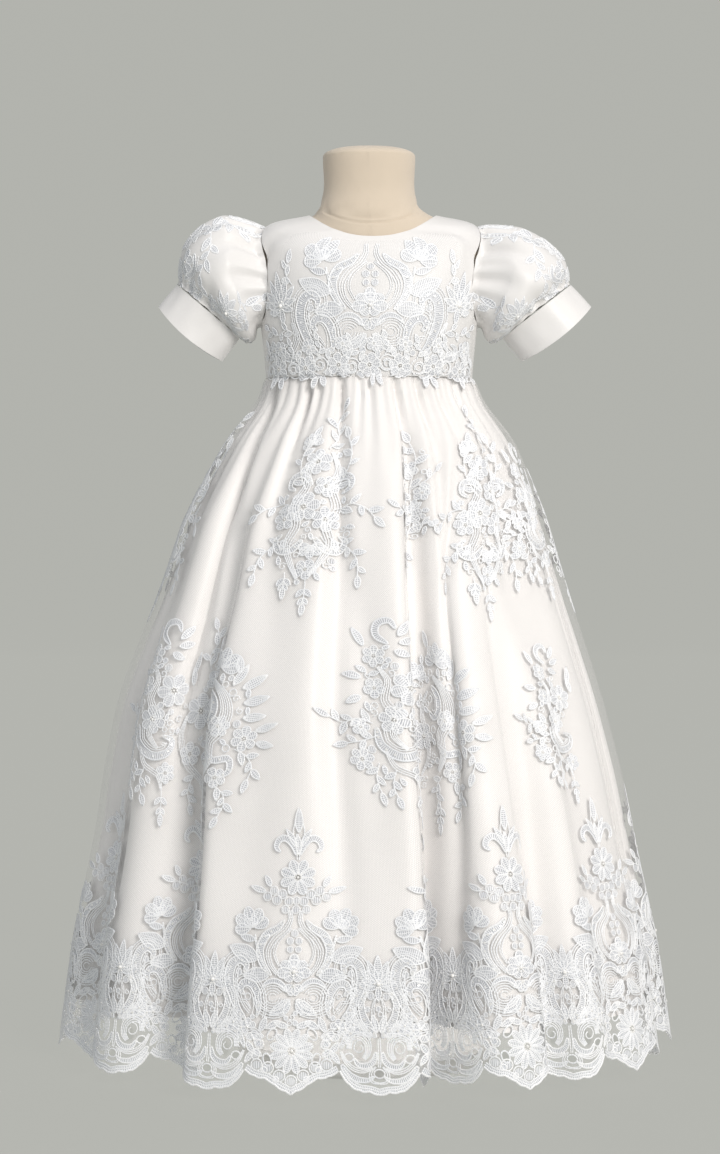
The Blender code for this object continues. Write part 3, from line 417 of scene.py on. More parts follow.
def skirt_point(count, v, out=0):
    """The gathered, creased skirt at a column, moved out."""
    count, v = np.broadcast_arrays(count, v)
    angle = skirt_angle(count, v)
    return skirt_smooth(angle, v) + (out + gathered(count, v))[..., None] * facing(skirt_smooth, angle, v, -1)


def cloth_width(v):
    """Metres of cloth for each repeat at a height, on average."""
    heights = np.linspace(0, 1, 21)
    rings = skirt_smooth(skirt_angle(np.linspace(0, REPEATS, 1301), heights[:, None]), heights[:, None])
    return np.interp(v, heights, np.linalg.norm(np.diff(rings, axis=1), axis=-1).sum(axis=1) / REPEATS)


def lining_inset(count, v):
    """How far the satin hangs inside the tulle: little in front and behind, more at the sides."""
    top, low, low_side = LINING_INSET
    low = low + (low_side - low) * np.abs(np.sin(skirt_angle(count, v))) ** 3
    return top + (low - top) * np.clip(v / LINING_INSET_FULL, 0, 1)


# Flat lace work, in millimetres across and up from a motif's own origin

class Lace:
    """Flat lace work: cords (points, width), fills (left edge, right edge, rise) and pearls (x, z, radius)."""

    def __init__(self):
        self.cords, self.fills, self.pearls = [], [], []

    def draw(self, part, *spots):
        """Draws one kind of part at each spot, given as what the part takes."""
        for spot in spots:
            part(self, *spot)
        return self

    def add(self, other, x=0, z=0, turn=0, size=1, mirror=False):
        """Adds other lace: sized, mirrored across its own upright line, turned in degrees and moved."""
        c, s = direction(turn, size)

        def moved(points):
            return np.asarray(points, float) * (-1 if mirror else 1, 1) @ np.array([[c, s], [-s, c]]) + (x, z)

        self.cords += [(moved(line), width) for line, width in other.cords]
        for left, right, rise in other.fills:
            self.fills.append((*map(moved, (right, left) if mirror else (left, right)), rise))
        self.pearls += [(*moved([[px, pz]])[0], radius) for px, pz, radius in other.pearls]
        return self

    def both(self, half):
        """Adds lace and its mirror image."""
        return self.add(half).add(half, mirror=True)


def curve(points, step=CORD_STEP):
    """A Catmull-Rom curve through points, cut in steps of about one length."""
    p = np.asarray(points, float)
    p = np.vstack([2 * p[0] - p[1], p, 2 * p[-1] - p[-2]])
    cuts = np.maximum(1, np.ceil(np.linalg.norm(p[2:-1] - p[1:-2], axis=1) / step)).astype(int)
    part = np.repeat(np.arange(len(cuts)), cuts)
    t = ((np.arange(len(part)) - np.repeat(np.cumsum(cuts) - cuts, cuts)) / cuts[part])[:, None]
    a, b, c, d = (p[part + i] for i in range(4))
    line = 0.5 * (2 * b + (c - a) * t + (2 * a - 5 * b + 4 * c - d) * t ** 2 + (3 * b - a - 3 * c + d) * t ** 3)
    return np.vstack([line, p[-2:-1]])


def beside(line, offset):
    """A line moved to its left by an offset, one for all or one a point."""
    along = np.gradient(line, axis=0)
    along /= np.maximum(np.linalg.norm(along, axis=1, keepdims=True), 1e-9)
    return line + joined(-along[:, 1], along[:, 0]) * np.asarray(offset)[..., None]


def swing(count):
    """Shares from 0 to 1 that lie closer together towards both ends: half a cosine's way."""
    return (1 - np.cos(np.linspace(0, math.pi, count))) / 2


def even(line, count):
    """A line in count points by length, closer together towards its ends."""
    length = run(line)
    return joined(*(np.interp(swing(count) * length[-1], length, line[:, i]) for i in (0, 1)))


def shape(lace, spine, width, fullest=0.5, blunt=0.6, rise=0.55, cord=1.1, veins=()):
    """A leaf, petal or band along a spine, its half width the sine of the way along.

    fullest is where it is widest, a lower blunt gives rounder ends, and veins are cords inside it
    at these shares of the half width. A rise of 0 leaves the shape open.
    """
    line = curve(spine, 1)
    line = even(line, max(6, int(run(line)[-1] / FILL_STEP) + 3))
    bend = math.log(0.5) / math.log(fullest)
    half = width / 2 * np.sin(math.pi * swing(len(line)) ** bend) ** blunt
    if cord:
        lace.cords.append((np.vstack([beside(line, half), beside(line, -half)[::-1][1:]]), cord))
    if rise:
        lace.fills.append((beside(line, half * 0.9), beside(line, half * -0.9), rise))
    lace.cords += [(beside(line, half * share)[1:-1], 0.7) for share in veins]
    return lace


def leaf(lace, x, z, angle, length, width, bend=0, veins=(0,), rise=0.6):
    """A pointed leaf from its foot, its spine bending to its left by a share of its length."""
    along = direction(angle)
    side = np.array([-along[1], along[0]])
    t = np.array([[0], [0.35], [0.7], [1]])
    return shape(lace, (x, z) + along * length * t + side * bend * length * t * t, width, 0.45, 0.85, rise, 1.1, veins)


def petal(lace, x, z, angle, length, width, veins=(), rise=0.6):
    """A petal from its narrow foot to its round end."""
    spine = (x, z) + direction(angle, length) * [[0], [0.5], [1]]
    return shape(lace, spine, width, 0.62, 0.5, rise, 1, veins)


def ring(lace, x, z, radius, rise=0.5, cord=0.95):
    """A small corded ring with a raised middle."""
    turn = np.linspace(0, 2 * math.pi, max(8, int(radius * 2.6) + 4))
    lace.cords.append((joined(x + radius * np.cos(turn), z + radius * np.sin(turn)), cord))
    if rise:
        shape(lace, [(x - radius * 0.8, z), (x, z), (x + radius * 0.8, z)], radius * 1.6, 0.5, 0.5, rise, 0)
    return lace


def heart(lace, x, z, radius, count=0, spread=2.6, small=0.8):
    """A flower's middle: a pearl with smaller ones round it."""
    lace.pearls.append((x, z, radius))
    lace.pearls += [(x + spread * math.cos(turn), z + spread * math.sin(turn), small) for turn in around(count)]
    return lace


def daisy(lace, x, z, radius, petals, turn=0, fat=1):
    """A flower of single petals round a pearl."""
    width = 2 * math.pi * radius * 0.68 / petals * 0.92 * fat
    for angle in turn + np.degrees(around(petals)):
        petal(lace, *((x, z) + direction(angle, radius * 0.17)), angle, radius * 0.83, width,
              (0.5, -0.5) if radius > 13.5 else (0,))
    return heart(lace, x, z, radius * 0.07 + 0.2, 8 if radius > 12 else 5, radius * 0.16, radius * 0.04 + 0.15)


def rose(lace, x, z, radius, turn):
    """A rose head seen from the side and above: a fan of outer petals round a curled heart."""
    for offset, reach, wide in ((-78, 0.92, 0.62), (-40, 1.05, 0.66), (0, 1.1, 0.62), (40, 1.05, 0.66),
                                (78, 0.92, 0.62)):
        foot = (x, z) - direction(turn, 0.25 * radius) + direction(turn + offset, 0.12 * radius)
        petal(lace, *foot, turn + offset, reach * radius, wide * radius, (0.35, -0.35))
    for offset, reach in ((-30, 0.62), (30, 0.62), (0, 0.5)):
        petal(lace, *((x, z) - direction(turn, 0.2 * radius)), turn + offset, reach * radius, 0.5 * radius, (), 0.95)
    return lace


def spiral(x, z, start_radius, end_radius, start, end, count=12, squash=1):
    """Points on a spiral round a middle, its angles in degrees."""
    share = np.linspace(0, 1, count)
    radius = start_radius * (end_radius / start_radius) ** share
    turn = np.radians(start + (end - start) * share)
    return joined(x + radius * np.cos(turn), z + squash * radius * np.sin(turn))


def scroll(lace, points, width, fullest=0.35, sequins=0, cords=(), rise=0.6):
    """A thick scroll band: a raised strip between two cords, sequins along it, thinner cords beside it."""
    shape(lace, points, width, fullest, 0.45, rise, 1.25)
    line = curve(points)
    if sequins:
        spots = even(line, max(4, int(run(line)[-1] / sequins)))[1:-1]
        lace.pearls += [(x, z, -min(width * 0.2, 1.05)) for x, z in spots]
    lace.cords += [(beside(line, offset)[1:-1], 0.85) for offset in cords]
    return lace


def strands(lace, points, offsets=(0,), width=0.9, taper=0.35):
    """Cords side by side that draw together towards both ends."""
    line = curve(points)
    spread = taper + (1 - taper) * np.sin(np.linspace(0, math.pi, len(line)))
    lace.cords += [(beside(line, offset * spread), width) for offset in offsets]
    return lace


def spray(lace, points, leaves, length=9, width=4.4):
    """A stem with leaves to its left and right in turn and one at its tip."""
    line = curve(points)
    lace.cords.append((line, 0.95))
    heading = np.degrees(np.arctan2(*np.gradient(line, axis=0).T[::-1]))
    for k in range(leaves):
        at = int((k + 0.8) / (leaves + 0.8) * (len(line) - 1))
        side = 1 if k % 2 else -1
        grow = 0.98 + 0.13 * math.sin(2.1 * k + 1)
        leaf(lace, *line[at], heading[at] + side * 42, length * grow, width * grow, side * 0.12)
    return leaf(lace, *line[-1], heading[-1], length * 1.15, width * 1.05)


def drop(lace, x, z, length):
    """A hanging stem with paired leaves and a long bud."""
    lace.cords.append((curve([(x, z), (x + 0.5, z - length * 0.5), (x, z - length)]), 0.9))
    for side in (-1, 1):
        lace.draw(leaf, (x, z - length * 0.45, 270 - side * 55, 8, 4, side * 0.2, ()),
                  (x, z - length * 0.8, 270 - side * 42, 6.5, 3.2, side * 0.15, ()))
    return leaf(lace, x, z - length, 270, 11, 4.4)


def wander(number):
    """A steady scattered value from 0 to 1 for a number: the fraction of a large sine."""
    value = math.sin(number * 12.9898 + 4.1) * 43758.5453
    return value - math.floor(value)


def inside(outline, x, z):
    """Whether a point is inside an outline: an odd number of its edges pass to the right of it."""
    a, b = np.asarray(outline, float), np.roll(np.asarray(outline, float), -1, axis=0)
    spans = (a[:, 1] > z) != (b[:, 1] > z)
    cross = a[:, 0] + (z - a[:, 1]) * (b[:, 0] - a[:, 0]) / np.where(spans, b[:, 1] - a[:, 1], 1)
    return bool(np.count_nonzero(spans & (cross > x)) % 2)


def close_gaps(lace, outline, step=4.8, clear=2.3, largest=4.4, left_open=0):
    """Fills what is open inside an outline with rings, curls and small leaves, but for a share left open.

    Each is as large as its room.
    """
    taken = np.vstack([line for line, _ in lace.cords] + [(left + right) / 2 for left, right, _ in lace.fills])
    low, high = np.min(outline, axis=0), np.max(outline, axis=0)
    spots = [(x + step / 2 * (row % 2), z) for row, z in enumerate(np.arange(low[1], high[1], step * 0.86))
             for x in np.arange(low[0], high[0], step)]
    for number, (x, z) in enumerate(spots):
        x, z = x + 1.6 * (wander(number) - 0.5), z + 1.6 * (wander(number + 0.5) - 0.5)
        room = np.hypot(*(taken - (x, z)).T).min()
        if room < clear or wander(number + 0.75) < left_open or not inside(outline, x, z):
            continue
        size, count, turn = min(room, largest), len(lace.cords), 360 * wander(number + 0.25)
        if number % 3 == 0 or size < 2.8:
            ring(lace, x, z, size * 0.78, 0.4 * (number % 2))
        elif number % 3 == 1:
            lace.cords.append((curve(spiral(x, z, size * 0.9, size * 0.3, turn, turn + 400, 9)), 0.95))
        else:
            leaf(lace, *((x, z) - direction(turn, size)), turn, size * 2, size, 0.1, ())
        taken = np.vstack([taken, *[line for line, _ in lace.cords[count:]]])
    return lace


# Hem: a repeat is REPEAT wide. The plume stands on the daisy scallop and the shell between two of them.

def spire_half():
    """The right half of the plume's top: a curl and bead clusters beside a small daisy."""
    half = leaf(Lace(), 1.5, 196, 66, 17, 4.2, -0.1, ())
    scroll(half, [(1.5, 190), (5, 199), (11, 203.5), (16.5, 201), (18, 195.5), (14.5, 192.5)], 4.6, 0.5)
    strands(half, [(0.8, 186), (1.8, 198), (4.5, 208), (3, 216)])
    half.draw(ring, (11.5, 158.5, 3.6), (18.5, 161.5, 3.3), (16, 154, 3.8), (24, 156.5, 3.5), (6, 153, 3.4),
              (8.5, 146.5, 3.1))
    return half.draw(leaf, (25.5, 160.5, 12, 14, 4.6, 0.08), (21.5, 164.5, 66, 10, 4.6, -0.1))


def crest_half():
    """The right half of the plume's body: a lyre of cords and scrolls, a rose, leaves and side scrolls."""
    half = strands(Lace(), [(5.5, 145.5), (4.6, 138.5), (8.5, 131), (17, 123.5), (22.5, 113.5), (20.5, 102.5),
                            (14, 94.5)], (-3, -1, 1), 0.95, 0.6)
    scroll(half, [(9, 137.5), (14.5, 131.5), (24, 125.5), (29, 114.5), (26.5, 103), (19, 94)], 6.2, 0.5, 4.2)
    strands(half, [(2.2, 131), (6.5, 127), (13, 120), (15.5, 111), (11.5, 101.5)], (0, 1.8), 0.85, 0.6)
    half.draw(ring, (3.6, 121.5, 2.7, 0.3), (3.4, 114.8, 2.5, 0.3))
    strands(half, [(1.5, 110.5), (4, 106.5), (8.5, 104)])
    rose(half, 37, 134, 14.5, 72)
    strands(half, [(33.5, 126), (31.5, 117), (27.5, 106), (22, 97)], (-0.6, 0.9))
    half.draw(leaf, (31, 118.5, 150, 12.5, 5.2, -0.12, ()), (33.5, 122, 4, 13, 5.4, 0.1, ()),
              (30, 107, 14, 27, 13.5, 0.1, (0, 0.4, -0.4), 0.9), (20.5, 94, 2, 23, 11.5, -0.1, (0, 0.4, -0.4), 0.9))
    half.draw(petal, *((0.8, 97, angle, reach, 8.6, (0,)) for angle, reach in ((90, 10), (38, 12), (-6, 13), (-52, 9))))
    for radius, width in ((13.2, 1), (11, 0.9), (8.6, 0.9), (6.2, 0.9), (3.6, 0.8)):
        half.cords.append((curve(spiral(17, 76.5, radius, radius * 0.93, 148, -178, 12, 0.86)), width))
    scroll(half, [(6, 81.5), (8.5, 86), (14.5, 89.5), (21.5, 88.5), (26.5, 84)], 3.6, 0.45, rise=0.4)
    half.draw(leaf, (2.5, 75, -42, 22, 7.6, 0.1, (0, 0.5), 0.8), (3, 73.5, -72, 12, 4.6, 0.1, ()))
    half.draw(scroll, ([(31, 60), (29, 68), (30.5, 79.5), (36, 87), (43, 87), (45.5, 81.5), (42, 78)], 6, 0.6, 4,
                       (5, 6.8, -4.6)),
              ([(40.5, 58), (48, 66.5), (53, 78), (56, 90), (53, 101.5), (46, 105.5), (40.5, 101), (42.5, 95.5)], 7.6,
               0.55, 4.2, (-5.6, -7.4, 5.4, 7.2)))
    strands(half, [(36, 66.5), (40.5, 72.5), (46, 73), (49.5, 80.5), (48, 91)], (-1, 1), 0.85)
    return ring(half, 47, 95.5, 2.6)


def foot_half():
    """Leaves and blossoms between the crest and the scallop."""
    half = strands(Lace(), [(6, 63.5), (17, 62), (28, 66), (33.5, 76)], (-2.2, 0, 2.2), 0.9, 0.4)
    strands(half, [(24, 44.5), (33, 50), (42, 47), (47.5, 38)], (-2, 0, 2), 0.9, 0.4)
    half.draw(leaf, (22.5, 60.5, -72, 13.5, 5.4, 0.14), (10, 57.5, -20, 14, 5.2, -0.1), (3.5, 53.5, 8, 12, 4.8, 0.14))
    for x, z, turn in ((38.5, 52, 90), (32.5, 42.5, 150)):
        half.draw(petal, *((x, z, turn - 120 + 62 * k, 7.4, 5.6) for k in range(4)))
        heart(half, x, z, 1.1)
    return half.draw(leaf, (41, 60, 24, 12, 5.2, -0.1), (33, 34.5, 205, 9.5, 4.4, 0.12), (33.5, 33, -62, 11, 4.6, 0.1))


def crest():
    """The plume's body, also the motif on the chest."""
    lace = ring(Lace().both(crest_half()), 0, 127.5, 2.7, 0.3)
    heart(petal(lace, 0, 100, 90, 11, 8, (0,)), 0, 97, 1.9, 7, 3.2)
    lace.draw(petal, *((0, 86, angle, 8.2, 6.2) for angle in (205, 250, 290, 335)))
    return heart(lace, 0, 86, 1.2, 5, 2.2, 0.6)


def plume():
    """Leaves, flowers and scrolls that rise to a spire over the daisy scallop."""
    lace = Lace().both(spire_half()).add(crest()).both(foot_half())
    lace.draw(leaf, (0, 208, 90, 20, 6, 0, (0,), 0.8), (0.6, 190, 94, 17, 4.6, 0.05))
    daisy(lace, 0.4, 172, 14.5, 8, 22.5, 1.05)
    lace.draw(ring, (0, 153.5, 3), (0, 146.3, 3.2))
    daisy(lace, 0, 34, 18.2, 12, 15, 1.06)
    return close_gaps(lace, [(-56, 60), (-58, 84), (-46, 104), (-30, 96), (-14, 88), (14, 88), (30, 96), (46, 104),
                             (58, 84), (56, 60), (40, 44), (28, 52), (0, 56), (-28, 52), (-40, 44)])


def shell_half():
    """The right half of the shell between two plumes: a volute of cords drawn together at both ends."""
    half = scroll(Lace(), [(2.6, 46), (9, 51.5), (19, 50.5), (27.5, 45), (32.5, 36)], 5.2, 0.4, 4.4, (-4.2, 4.4))
    strands(half, [(25, 36), (24, 44), (17, 46.5), (10.5, 42), (9.5, 34), (13, 28.5)], (-3, -1.1, 0.8, 2.6), 1, 0.5)
    half.cords.append((curve(spiral(16.5, 37, 6.4, 2.2, 100, -250)), 1))
    scroll(half, [(2.8, 34), (4.6, 27), (10.5, 23), (17.5, 23.5), (21, 28.5)], 4.2, 0.45, rise=0.7)
    strands(half, [(32.5, 33.5), (29, 25.5), (22.5, 19.5), (14, 17.5), (5, 20.5)], (-2.8, -1.2, 0.4), 1, 0.4)
    scroll(half, [(31.5, 23), (26, 16), (18, 11.8), (9.5, 11.6), (4.4, 14.6)], 4.4, rise=0.7)
    strands(half, [(0, 9.6), (5.4, 11.2), (6.6, 17), (2.6, 22.4)], (0, -1.8), 1)
    leaf(half, 34, 41, -58, 13, 4.8, 0.1)
    scroll(half, [(3, 47.5), (8.5, 54.5), (13.5, 63), (14.5, 73.5), (10, 82)], 5.4, 0.4, 4.4, (-4.4, -6.4))
    half.draw(strands, ([(2, 52), (4.5, 60), (5, 69), (2.6, 77)], (-0.8, 1.2)),
              ([(10, 50.5), (18.5, 59), (22.5, 70), (20.5, 81)], (-1.8, 0, 1.8), 0.9, 0.4))
    half.draw(leaf, (1.5, 49.5, 78, 15, 5.6, -0.1), (6, 46, 30, 16, 6.2, 0.2, (0, 0.5), 0.8))
    half.draw(ring, (6.5, 78.5, 2.9), (13, 86.5, 2.7))
    for x, z, turn in ((21.5, 55.5, 20), (28.5, 51.5, 50)):
        half.draw(petal, *((x, z, turn + 70 * k, 7, 5.2) for k in range(5)))
        heart(half, x, z, 0.9)
    return half


def lily():
    """A spread flower of long leaves round a beaded heart."""
    lace = Lace()
    leaves = ((62, 20, 6.4), (34, 19, 6), (6, 15, 5.4), (-28, 12, 5))
    lace.draw(leaf, *((0, 0, angle, reach, wide, 0.06, (0,), 0.7) for angle, reach, wide in leaves))
    lace.draw(leaf, *((0, 0, 180 - angle, reach, wide, -0.06, (0,), 0.7) for angle, reach, wide in leaves))
    lace.draw(leaf, (0, 0, 90, 23, 6.8, 0, (0,), 0.8), (0, -2, 270, 12, 5))
    return heart(lace, 0, 0, 1.9, 6, 3.2)


def shell():
    """Mirrored volutes at the hem with a lily over them."""
    lace = Lace().both(shell_half()).add(lily(), 0, 88)
    strands(lace, [(0, 22), (0.4, 30), (0, 45)], (-1.1, 1.1), 1, 0.7)
    return close_gaps(lace, [(-27, 47), (-22, 62), (-18, 80), (18, 80), (22, 62), (27, 47)])


# Bouquets scattered on the skirt, from their own middle

def bouquet_left():
    """The large bouquet's left lobe: open flowers over a C-scroll, sprays to the left and hanging drops."""
    lace = Lace().draw(daisy, (-41, 29, 14, 6, 12, 1.04), (-64, 57, 9, 6, 20), (-67, 31, 8.5, 5, 50),
                       (-56, 4, 11.5, 6, 40, 1.02), (-85, -27, 9.5, 6, 10), (-41, -40, 9, 6, 35), (-82, -1, 7, 5, 0))
    scroll(lace, [(-52, 66), (-60, 74), (-58, 83), (-49, 85), (-45, 78)], 5, 0.5)
    lace.draw(leaf, *((*spot, 5.6, 0.12) for spot in (
        (-44, 72, 48, 15), (-44, 66, 12, 13), (-48, 60, -30, 11), (-71, 66, 106, 16), (-76, 40, 160, 14),
        (-78, 24, 196, 13), (-25, 42, 70, 20), (-22, 34, 96, 16))))
    lace.draw(spray, ([(-72, 2), (-84, 6), (-94, 3), (-104, 8)], 5, 10.5, 4.8),
              ([(-70, -8), (-82, -12), (-94, -14)], 3, 10, 4.6))
    scroll(lace, [(-70, -2), (-68, -16), (-55, -26), (-41, -23), (-37, -13), (-46, -9)], 6.4, 0.4, 4.2, (5.2, 7))
    lace.draw(strands, ([(-62, 48), (-56, 36), (-60, 20), (-52, 6), (-58, -8), (-50, -20)], (-3.2, -1.2, 0.8, 2.8),
                        0.9, 0.3), ([(-66, -20), (-60, -34), (-48, -42), (-44, -54)], (-1.8, 0, 1.8), 0.9, 0.4))
    lace.draw(spray, ([(-72, -30), (-76, -42), (-74, -54)], 3, 10, 4.6),
              ([(-60, -36), (-64, -48), (-62, -58)], 3))
    return drop(lace, -44, -50, 24)


def bouquet_right():
    """The large bouquet's right lobe: a rose over fanned cords, broad leaves to the right and a drop."""
    lace = rose(Lace(), 30, 52, 14.5, 84)
    lace.draw(daisy, (62, -7, 10.5, 6, 24, 1.02), (40, 2, 9, 6, 10), (44, -40, 8.5, 5, 50))
    strands(lace, [(26, 38), (38, 28), (44, 14), (41, 0), (34, -12), (36, -28), (30, -40)], (-5, -3, -1, 1, 3, 5), 0.9,
            0.25)
    lace.draw(scroll, ([(24, 30), (32, 22), (33, 10), (26, 4), (20, 9)], 5.6, 0.45, 4.2, (-4.6,)),
              ([(30, -18), (40, -26), (52, -24), (54, -34), (46, -40)], 5, 0.45, 4.4))
    lace.draw(leaf, *((*spot, 0.1, (0, 0.5, -0.5)) for spot in (
        (44, 36, 62, 19, 7), (52, 34, 30, 20, 7.6), (56, 22, 12, 20, 7.4), (58, 10, 2, 18, 6.8), (70, 0, 14, 18, 6),
        (72, -10, -14, 15, 5.6), (46, 46, 100, 15, 5.8), (18, 62, 110, 15, 5.6))))
    lace.draw(spray, ([(56, -16), (66, -21), (72, -30), (70, -40)], 4, 10.5, 4.8),
              ([(44, -46), (52, -53), (54, -62), (50, -72)], 5, 9.5, 4.4),
              ([(34, -44), (26, -54), (28, -66)], 4, 9, 4.2))
    return drop(lace, 30, -62, 20)


def bouquet():
    """The large bouquet: two lobes of flowers and a middle of daisies, cords and a leafy stem."""
    lace = Lace().add(bouquet_left()).add(bouquet_right())
    lace.draw(daisy, (-10, 12, 15, 6, 30, 1.02), (12, -12, 11.5, 6), (-18, -24, 10, 5, 20)).draw(rose, (4, 38, 12, 100))
    lace.draw(strands, ([(-24, 8), (-28, -10), (-20, -32), (-6, -46), (-2, -60)], (-3, -1, 1, 3), 0.9, 0.3),
              ([(18, 26), (10, 8), (18, -24), (8, -44)], (-2, 0, 2), 0.9, 0.3))
    lace.draw(spray, ([(-6, 46), (-10, 58), (-4, 70), (-8, 80)], 5, 10, 4.6),
              ([(-12, -40), (-18, -54), (-16, -66)], 4, 9, 4.2))
    drop(lace, 2, -52, 22)
    close_gaps(lace, [(-88, -30), (-92, 0), (-80, 14), (-78, 44), (-66, 66), (-48, 64), (-40, 46), (-24, 34),
                      (-16, 8), (-30, -12), (-34, -46), (-62, -56)], 6, 2.6, 4.2, 0.25)
    return close_gaps(lace, [(-6, 50), (22, 64), (46, 48), (64, 24), (68, -4), (56, -28), (36, -48), (10, -52),
                             (-4, -40), (-14, 0)], 6, 2.6, 3.8, 0.3)


def tall_half():
    """Half of the tall bouquet: sprays, cords and curls."""
    half = Lace().draw(spray, ([(10, 20), (18, 34), (20, 50), (15, 64)], 5, 9.5, 4.2),
                       ([(14, 4), (26, 8), (38, 4), (46, -4)], 4, 10.5, 4.6),
                       ([(14, -20), (26, -26), (36, -38), (38, -52)], 6, 9.5, 4.2))
    strands(half, [(5, 52), (12, 38), (10, 22), (16, 6), (11, -10), (16, -26), (10, -42), (3, -54)],
            (-3.4, -1.2, 1, 3), 0.9, 0.3)
    return half.draw(scroll, ([(4, -22), (12, -31), (22, -31), (26, -23), (21, -18)], 5, 0.4, 4.4, (4.4,)),
                     ([(6, 24), (14, 32), (23, 30), (24, 22), (18, 19)], 4.6, 0.4, 4.4))


def tall_bouquet():
    """The tall narrow bouquet below the waist: flowers above each other, trailing leaves and a long drop."""
    lace = Lace().add(tall_half()).add(tall_half(), 0, -2, -3, mirror=True)
    lace.draw(daisy, (-4, 42, 10.5, 6, 30, 1.04), (6, 22, 9, 5), (-8, 4, 12.5, 6, 12, 1.02),
              (10, -6, 10.5, 6, 40, 1.02), (-22, -6, 9, 5, 24))
    lace.draw(rose, (2, -30, 9.5, 270), (-12, 58, 8.5, 110)).draw(daisy, (0, -48, 8.5, 5, 62))
    spray(lace, [(2, 54), (6, 66), (3, 78), (6, 88)], 5, 8.5, 3.8)
    lace.draw(drop, (1, -56, 20), (-16, -50, 12))
    return close_gaps(lace, [(-30, -24), (-25, 20), (-15, 56), (2, 70), (12, 52), (25, 20), (31, -20), (18, -50),
                             (0, -64), (-18, -52)], 5.6, 2.5, 4, 0.25)


def sprig():
    """The small cross-shaped sprig between two tall bouquets."""
    lace = Lace().draw(spray, ([(0, -34), (2, -12), (-1, 10), (2, 34), (-3, 50)], 8, 10.5, 4.6),
                       ([(0, -14), (-10, -8), (-18, -10), (-24, -6)], 4, 8, 4),
                       ([(2, -16), (10, -20), (16, -18), (22, -22)], 4, 8.5, 4.2),
                       ([(0, 10), (10, 16), (20, 26)], 2, 8.5, 4))
    lace.draw(daisy, (0, -12, 9, 6, 20), (-3, 26, 7.5, 5, 60), (8, 6, 6.5, 5, 10))
    drop(ring(lace, -8, 44, 3.4), 0, -36, 18)
    return close_gaps(lace, [(-14, -30), (-13, 10), (-9, 44), (8, 44), (14, 10), (13, -30)])


# Hem border

def scallops(first, last):
    """Each scallop between two notches: its first column, its share of a repeat and whether it is a daisy's."""
    while first < last - 1e-6:
        is_daisy = abs(first + DAISY_HALF - round(first + DAISY_HALF)) < 1e-6
        share = SCALLOPS[is_daisy][0]
        yield first, share, is_daisy
        first += share


def scallop_edge(width, table, picots, count):
    """A scallop's lower edge in metres: its table's curve and mirror image, with small round bumps."""
    share = np.linspace(0, 1, count)
    low = column_value(table, 1, np.minimum(share, 1 - share))
    return joined(share * width, low - PICOT * np.abs(np.sin(math.pi * picots * share)))


def eye(x, z, wide, tall, turn):
    """Corners of an oval opening, in metres."""
    a, b = wide / 2 * np.cos(around(GAP_CORNERS)), tall / 2 * np.sin(around(GAP_CORNERS))
    c, s = direction(turn)
    return joined(x + a * c - b * s, z + a * s + b * c)


def eyes(is_daisy, width):
    """A scallop's openings: on a ring round the daisy's middle, or at the shell's own places."""
    if is_daisy:
        return [eye(*((width / 2, DAISY_CENTRE) + direction(angle, DAISY_GAP_RING)), *DAISY_GAP, angle + 90)
                for angle in DAISY_GAP_ANGLES]
    return [eye(width * across, *rest) for across, *rest in SHELL_GAPS]


def edging(is_daisy):
    """One scallop's cords, from its own upright middle: along its edge, round its openings, and in rings."""
    share, table, picots, _ = SCALLOPS[is_daisy]
    width = share * REPEAT
    lace = Lace()
    bumped = (scallop_edge(width, table, picots, 6 * picots + 1) - (width / 2, 0)) / MM
    plain = (scallop_edge(width, table, 0, 40) - (width / 2, 0)) / MM
    lace.cords += [(beside(bumped, 0.6), 1.7), (beside(plain, EDGE_BAND), 1.1), (beside(plain, 0.55 * EDGE_BAND), 1.1)]
    lace.fills.append((beside(plain, EDGE_BAND), beside(plain, 0.7), 0.8))
    if is_daisy:
        for x in DAISY_RINGS:
            z = np.interp(x, plain[:, 0], plain[:, 1]) + EDGE_BAND + 5
            lace.draw(ring, *((side * x, z, 4.7, 0.5, 1.15) for side in ((1, -1) if x else (1,))))
        for x, z, radius in ((30.5, 31, 3.9), (27.5, 39, 3.6), (12.5, 11.5, 2.4), (22.5, 18.8, 2.6)):
            lace.draw(ring, (x, z, radius, 0.5, 1.1), (-x, z, radius, 0.5, 1.1))
    openings = eyes(is_daisy, width)
    for opening in openings if is_daisy else (openings[0], *openings[3:]):
        lace.cords.append(((np.vstack([opening, opening[:1]]) - (width / 2, 0)) / MM, 1.2))
    return lace


def scallop_net(is_daisy):
    """Flat triangles of one scallop, metres across and above the hem line, its openings cut out.

    A Delaunay mesh of the outline, the openings and a staggered grid of points inside.
    """
    share, table, picots, steps = SCALLOPS[is_daisy]
    width = share * REPEAT
    sides = np.linspace(NOTCH_HEIGHT, BORDER_HEIGHT, 10)[1:-1]
    across = np.linspace(width, 0, steps + 1)
    outline = np.vstack([scallop_edge(width, table, picots, 6 * picots + 1), joined(width, sides),
                         joined(across, BORDER_HEIGHT), joined(0, sides[::-1])])
    openings = eyes(is_daisy, width)
    rims = np.vstack([outline, *openings])
    row, column = np.mgrid[:int(BORDER_HEIGHT / NET_STEP) + 1, :int(width / NET_STEP) + 1]
    grid = joined((column + 0.25) * NET_STEP + row % 2 * NET_STEP / 2, (row + 0.5) * NET_STEP).reshape(-1, 2)
    grid = grid[np.linalg.norm(grid[:, None] - rims[None], axis=2).min(axis=1) > NET_STEP * 0.45]
    edges, first = [], 0
    for part in (outline, *openings):
        edges += [(first + i, first + (i + 1) % len(part)) for i in range(len(part))]
        first += len(part)
    flat, _, faces, *_ = delaunay_2d_cdt([tuple(p) for p in (*rims, *grid)], edges, [], 1, 1e-7)
    flat, faces = np.array([tuple(p) for p in flat]), np.array(faces)
    kept = [not any(inside(part, *middle) for part in openings) for middle in flat[faces].mean(axis=1)]
    return flat, faces[kept]


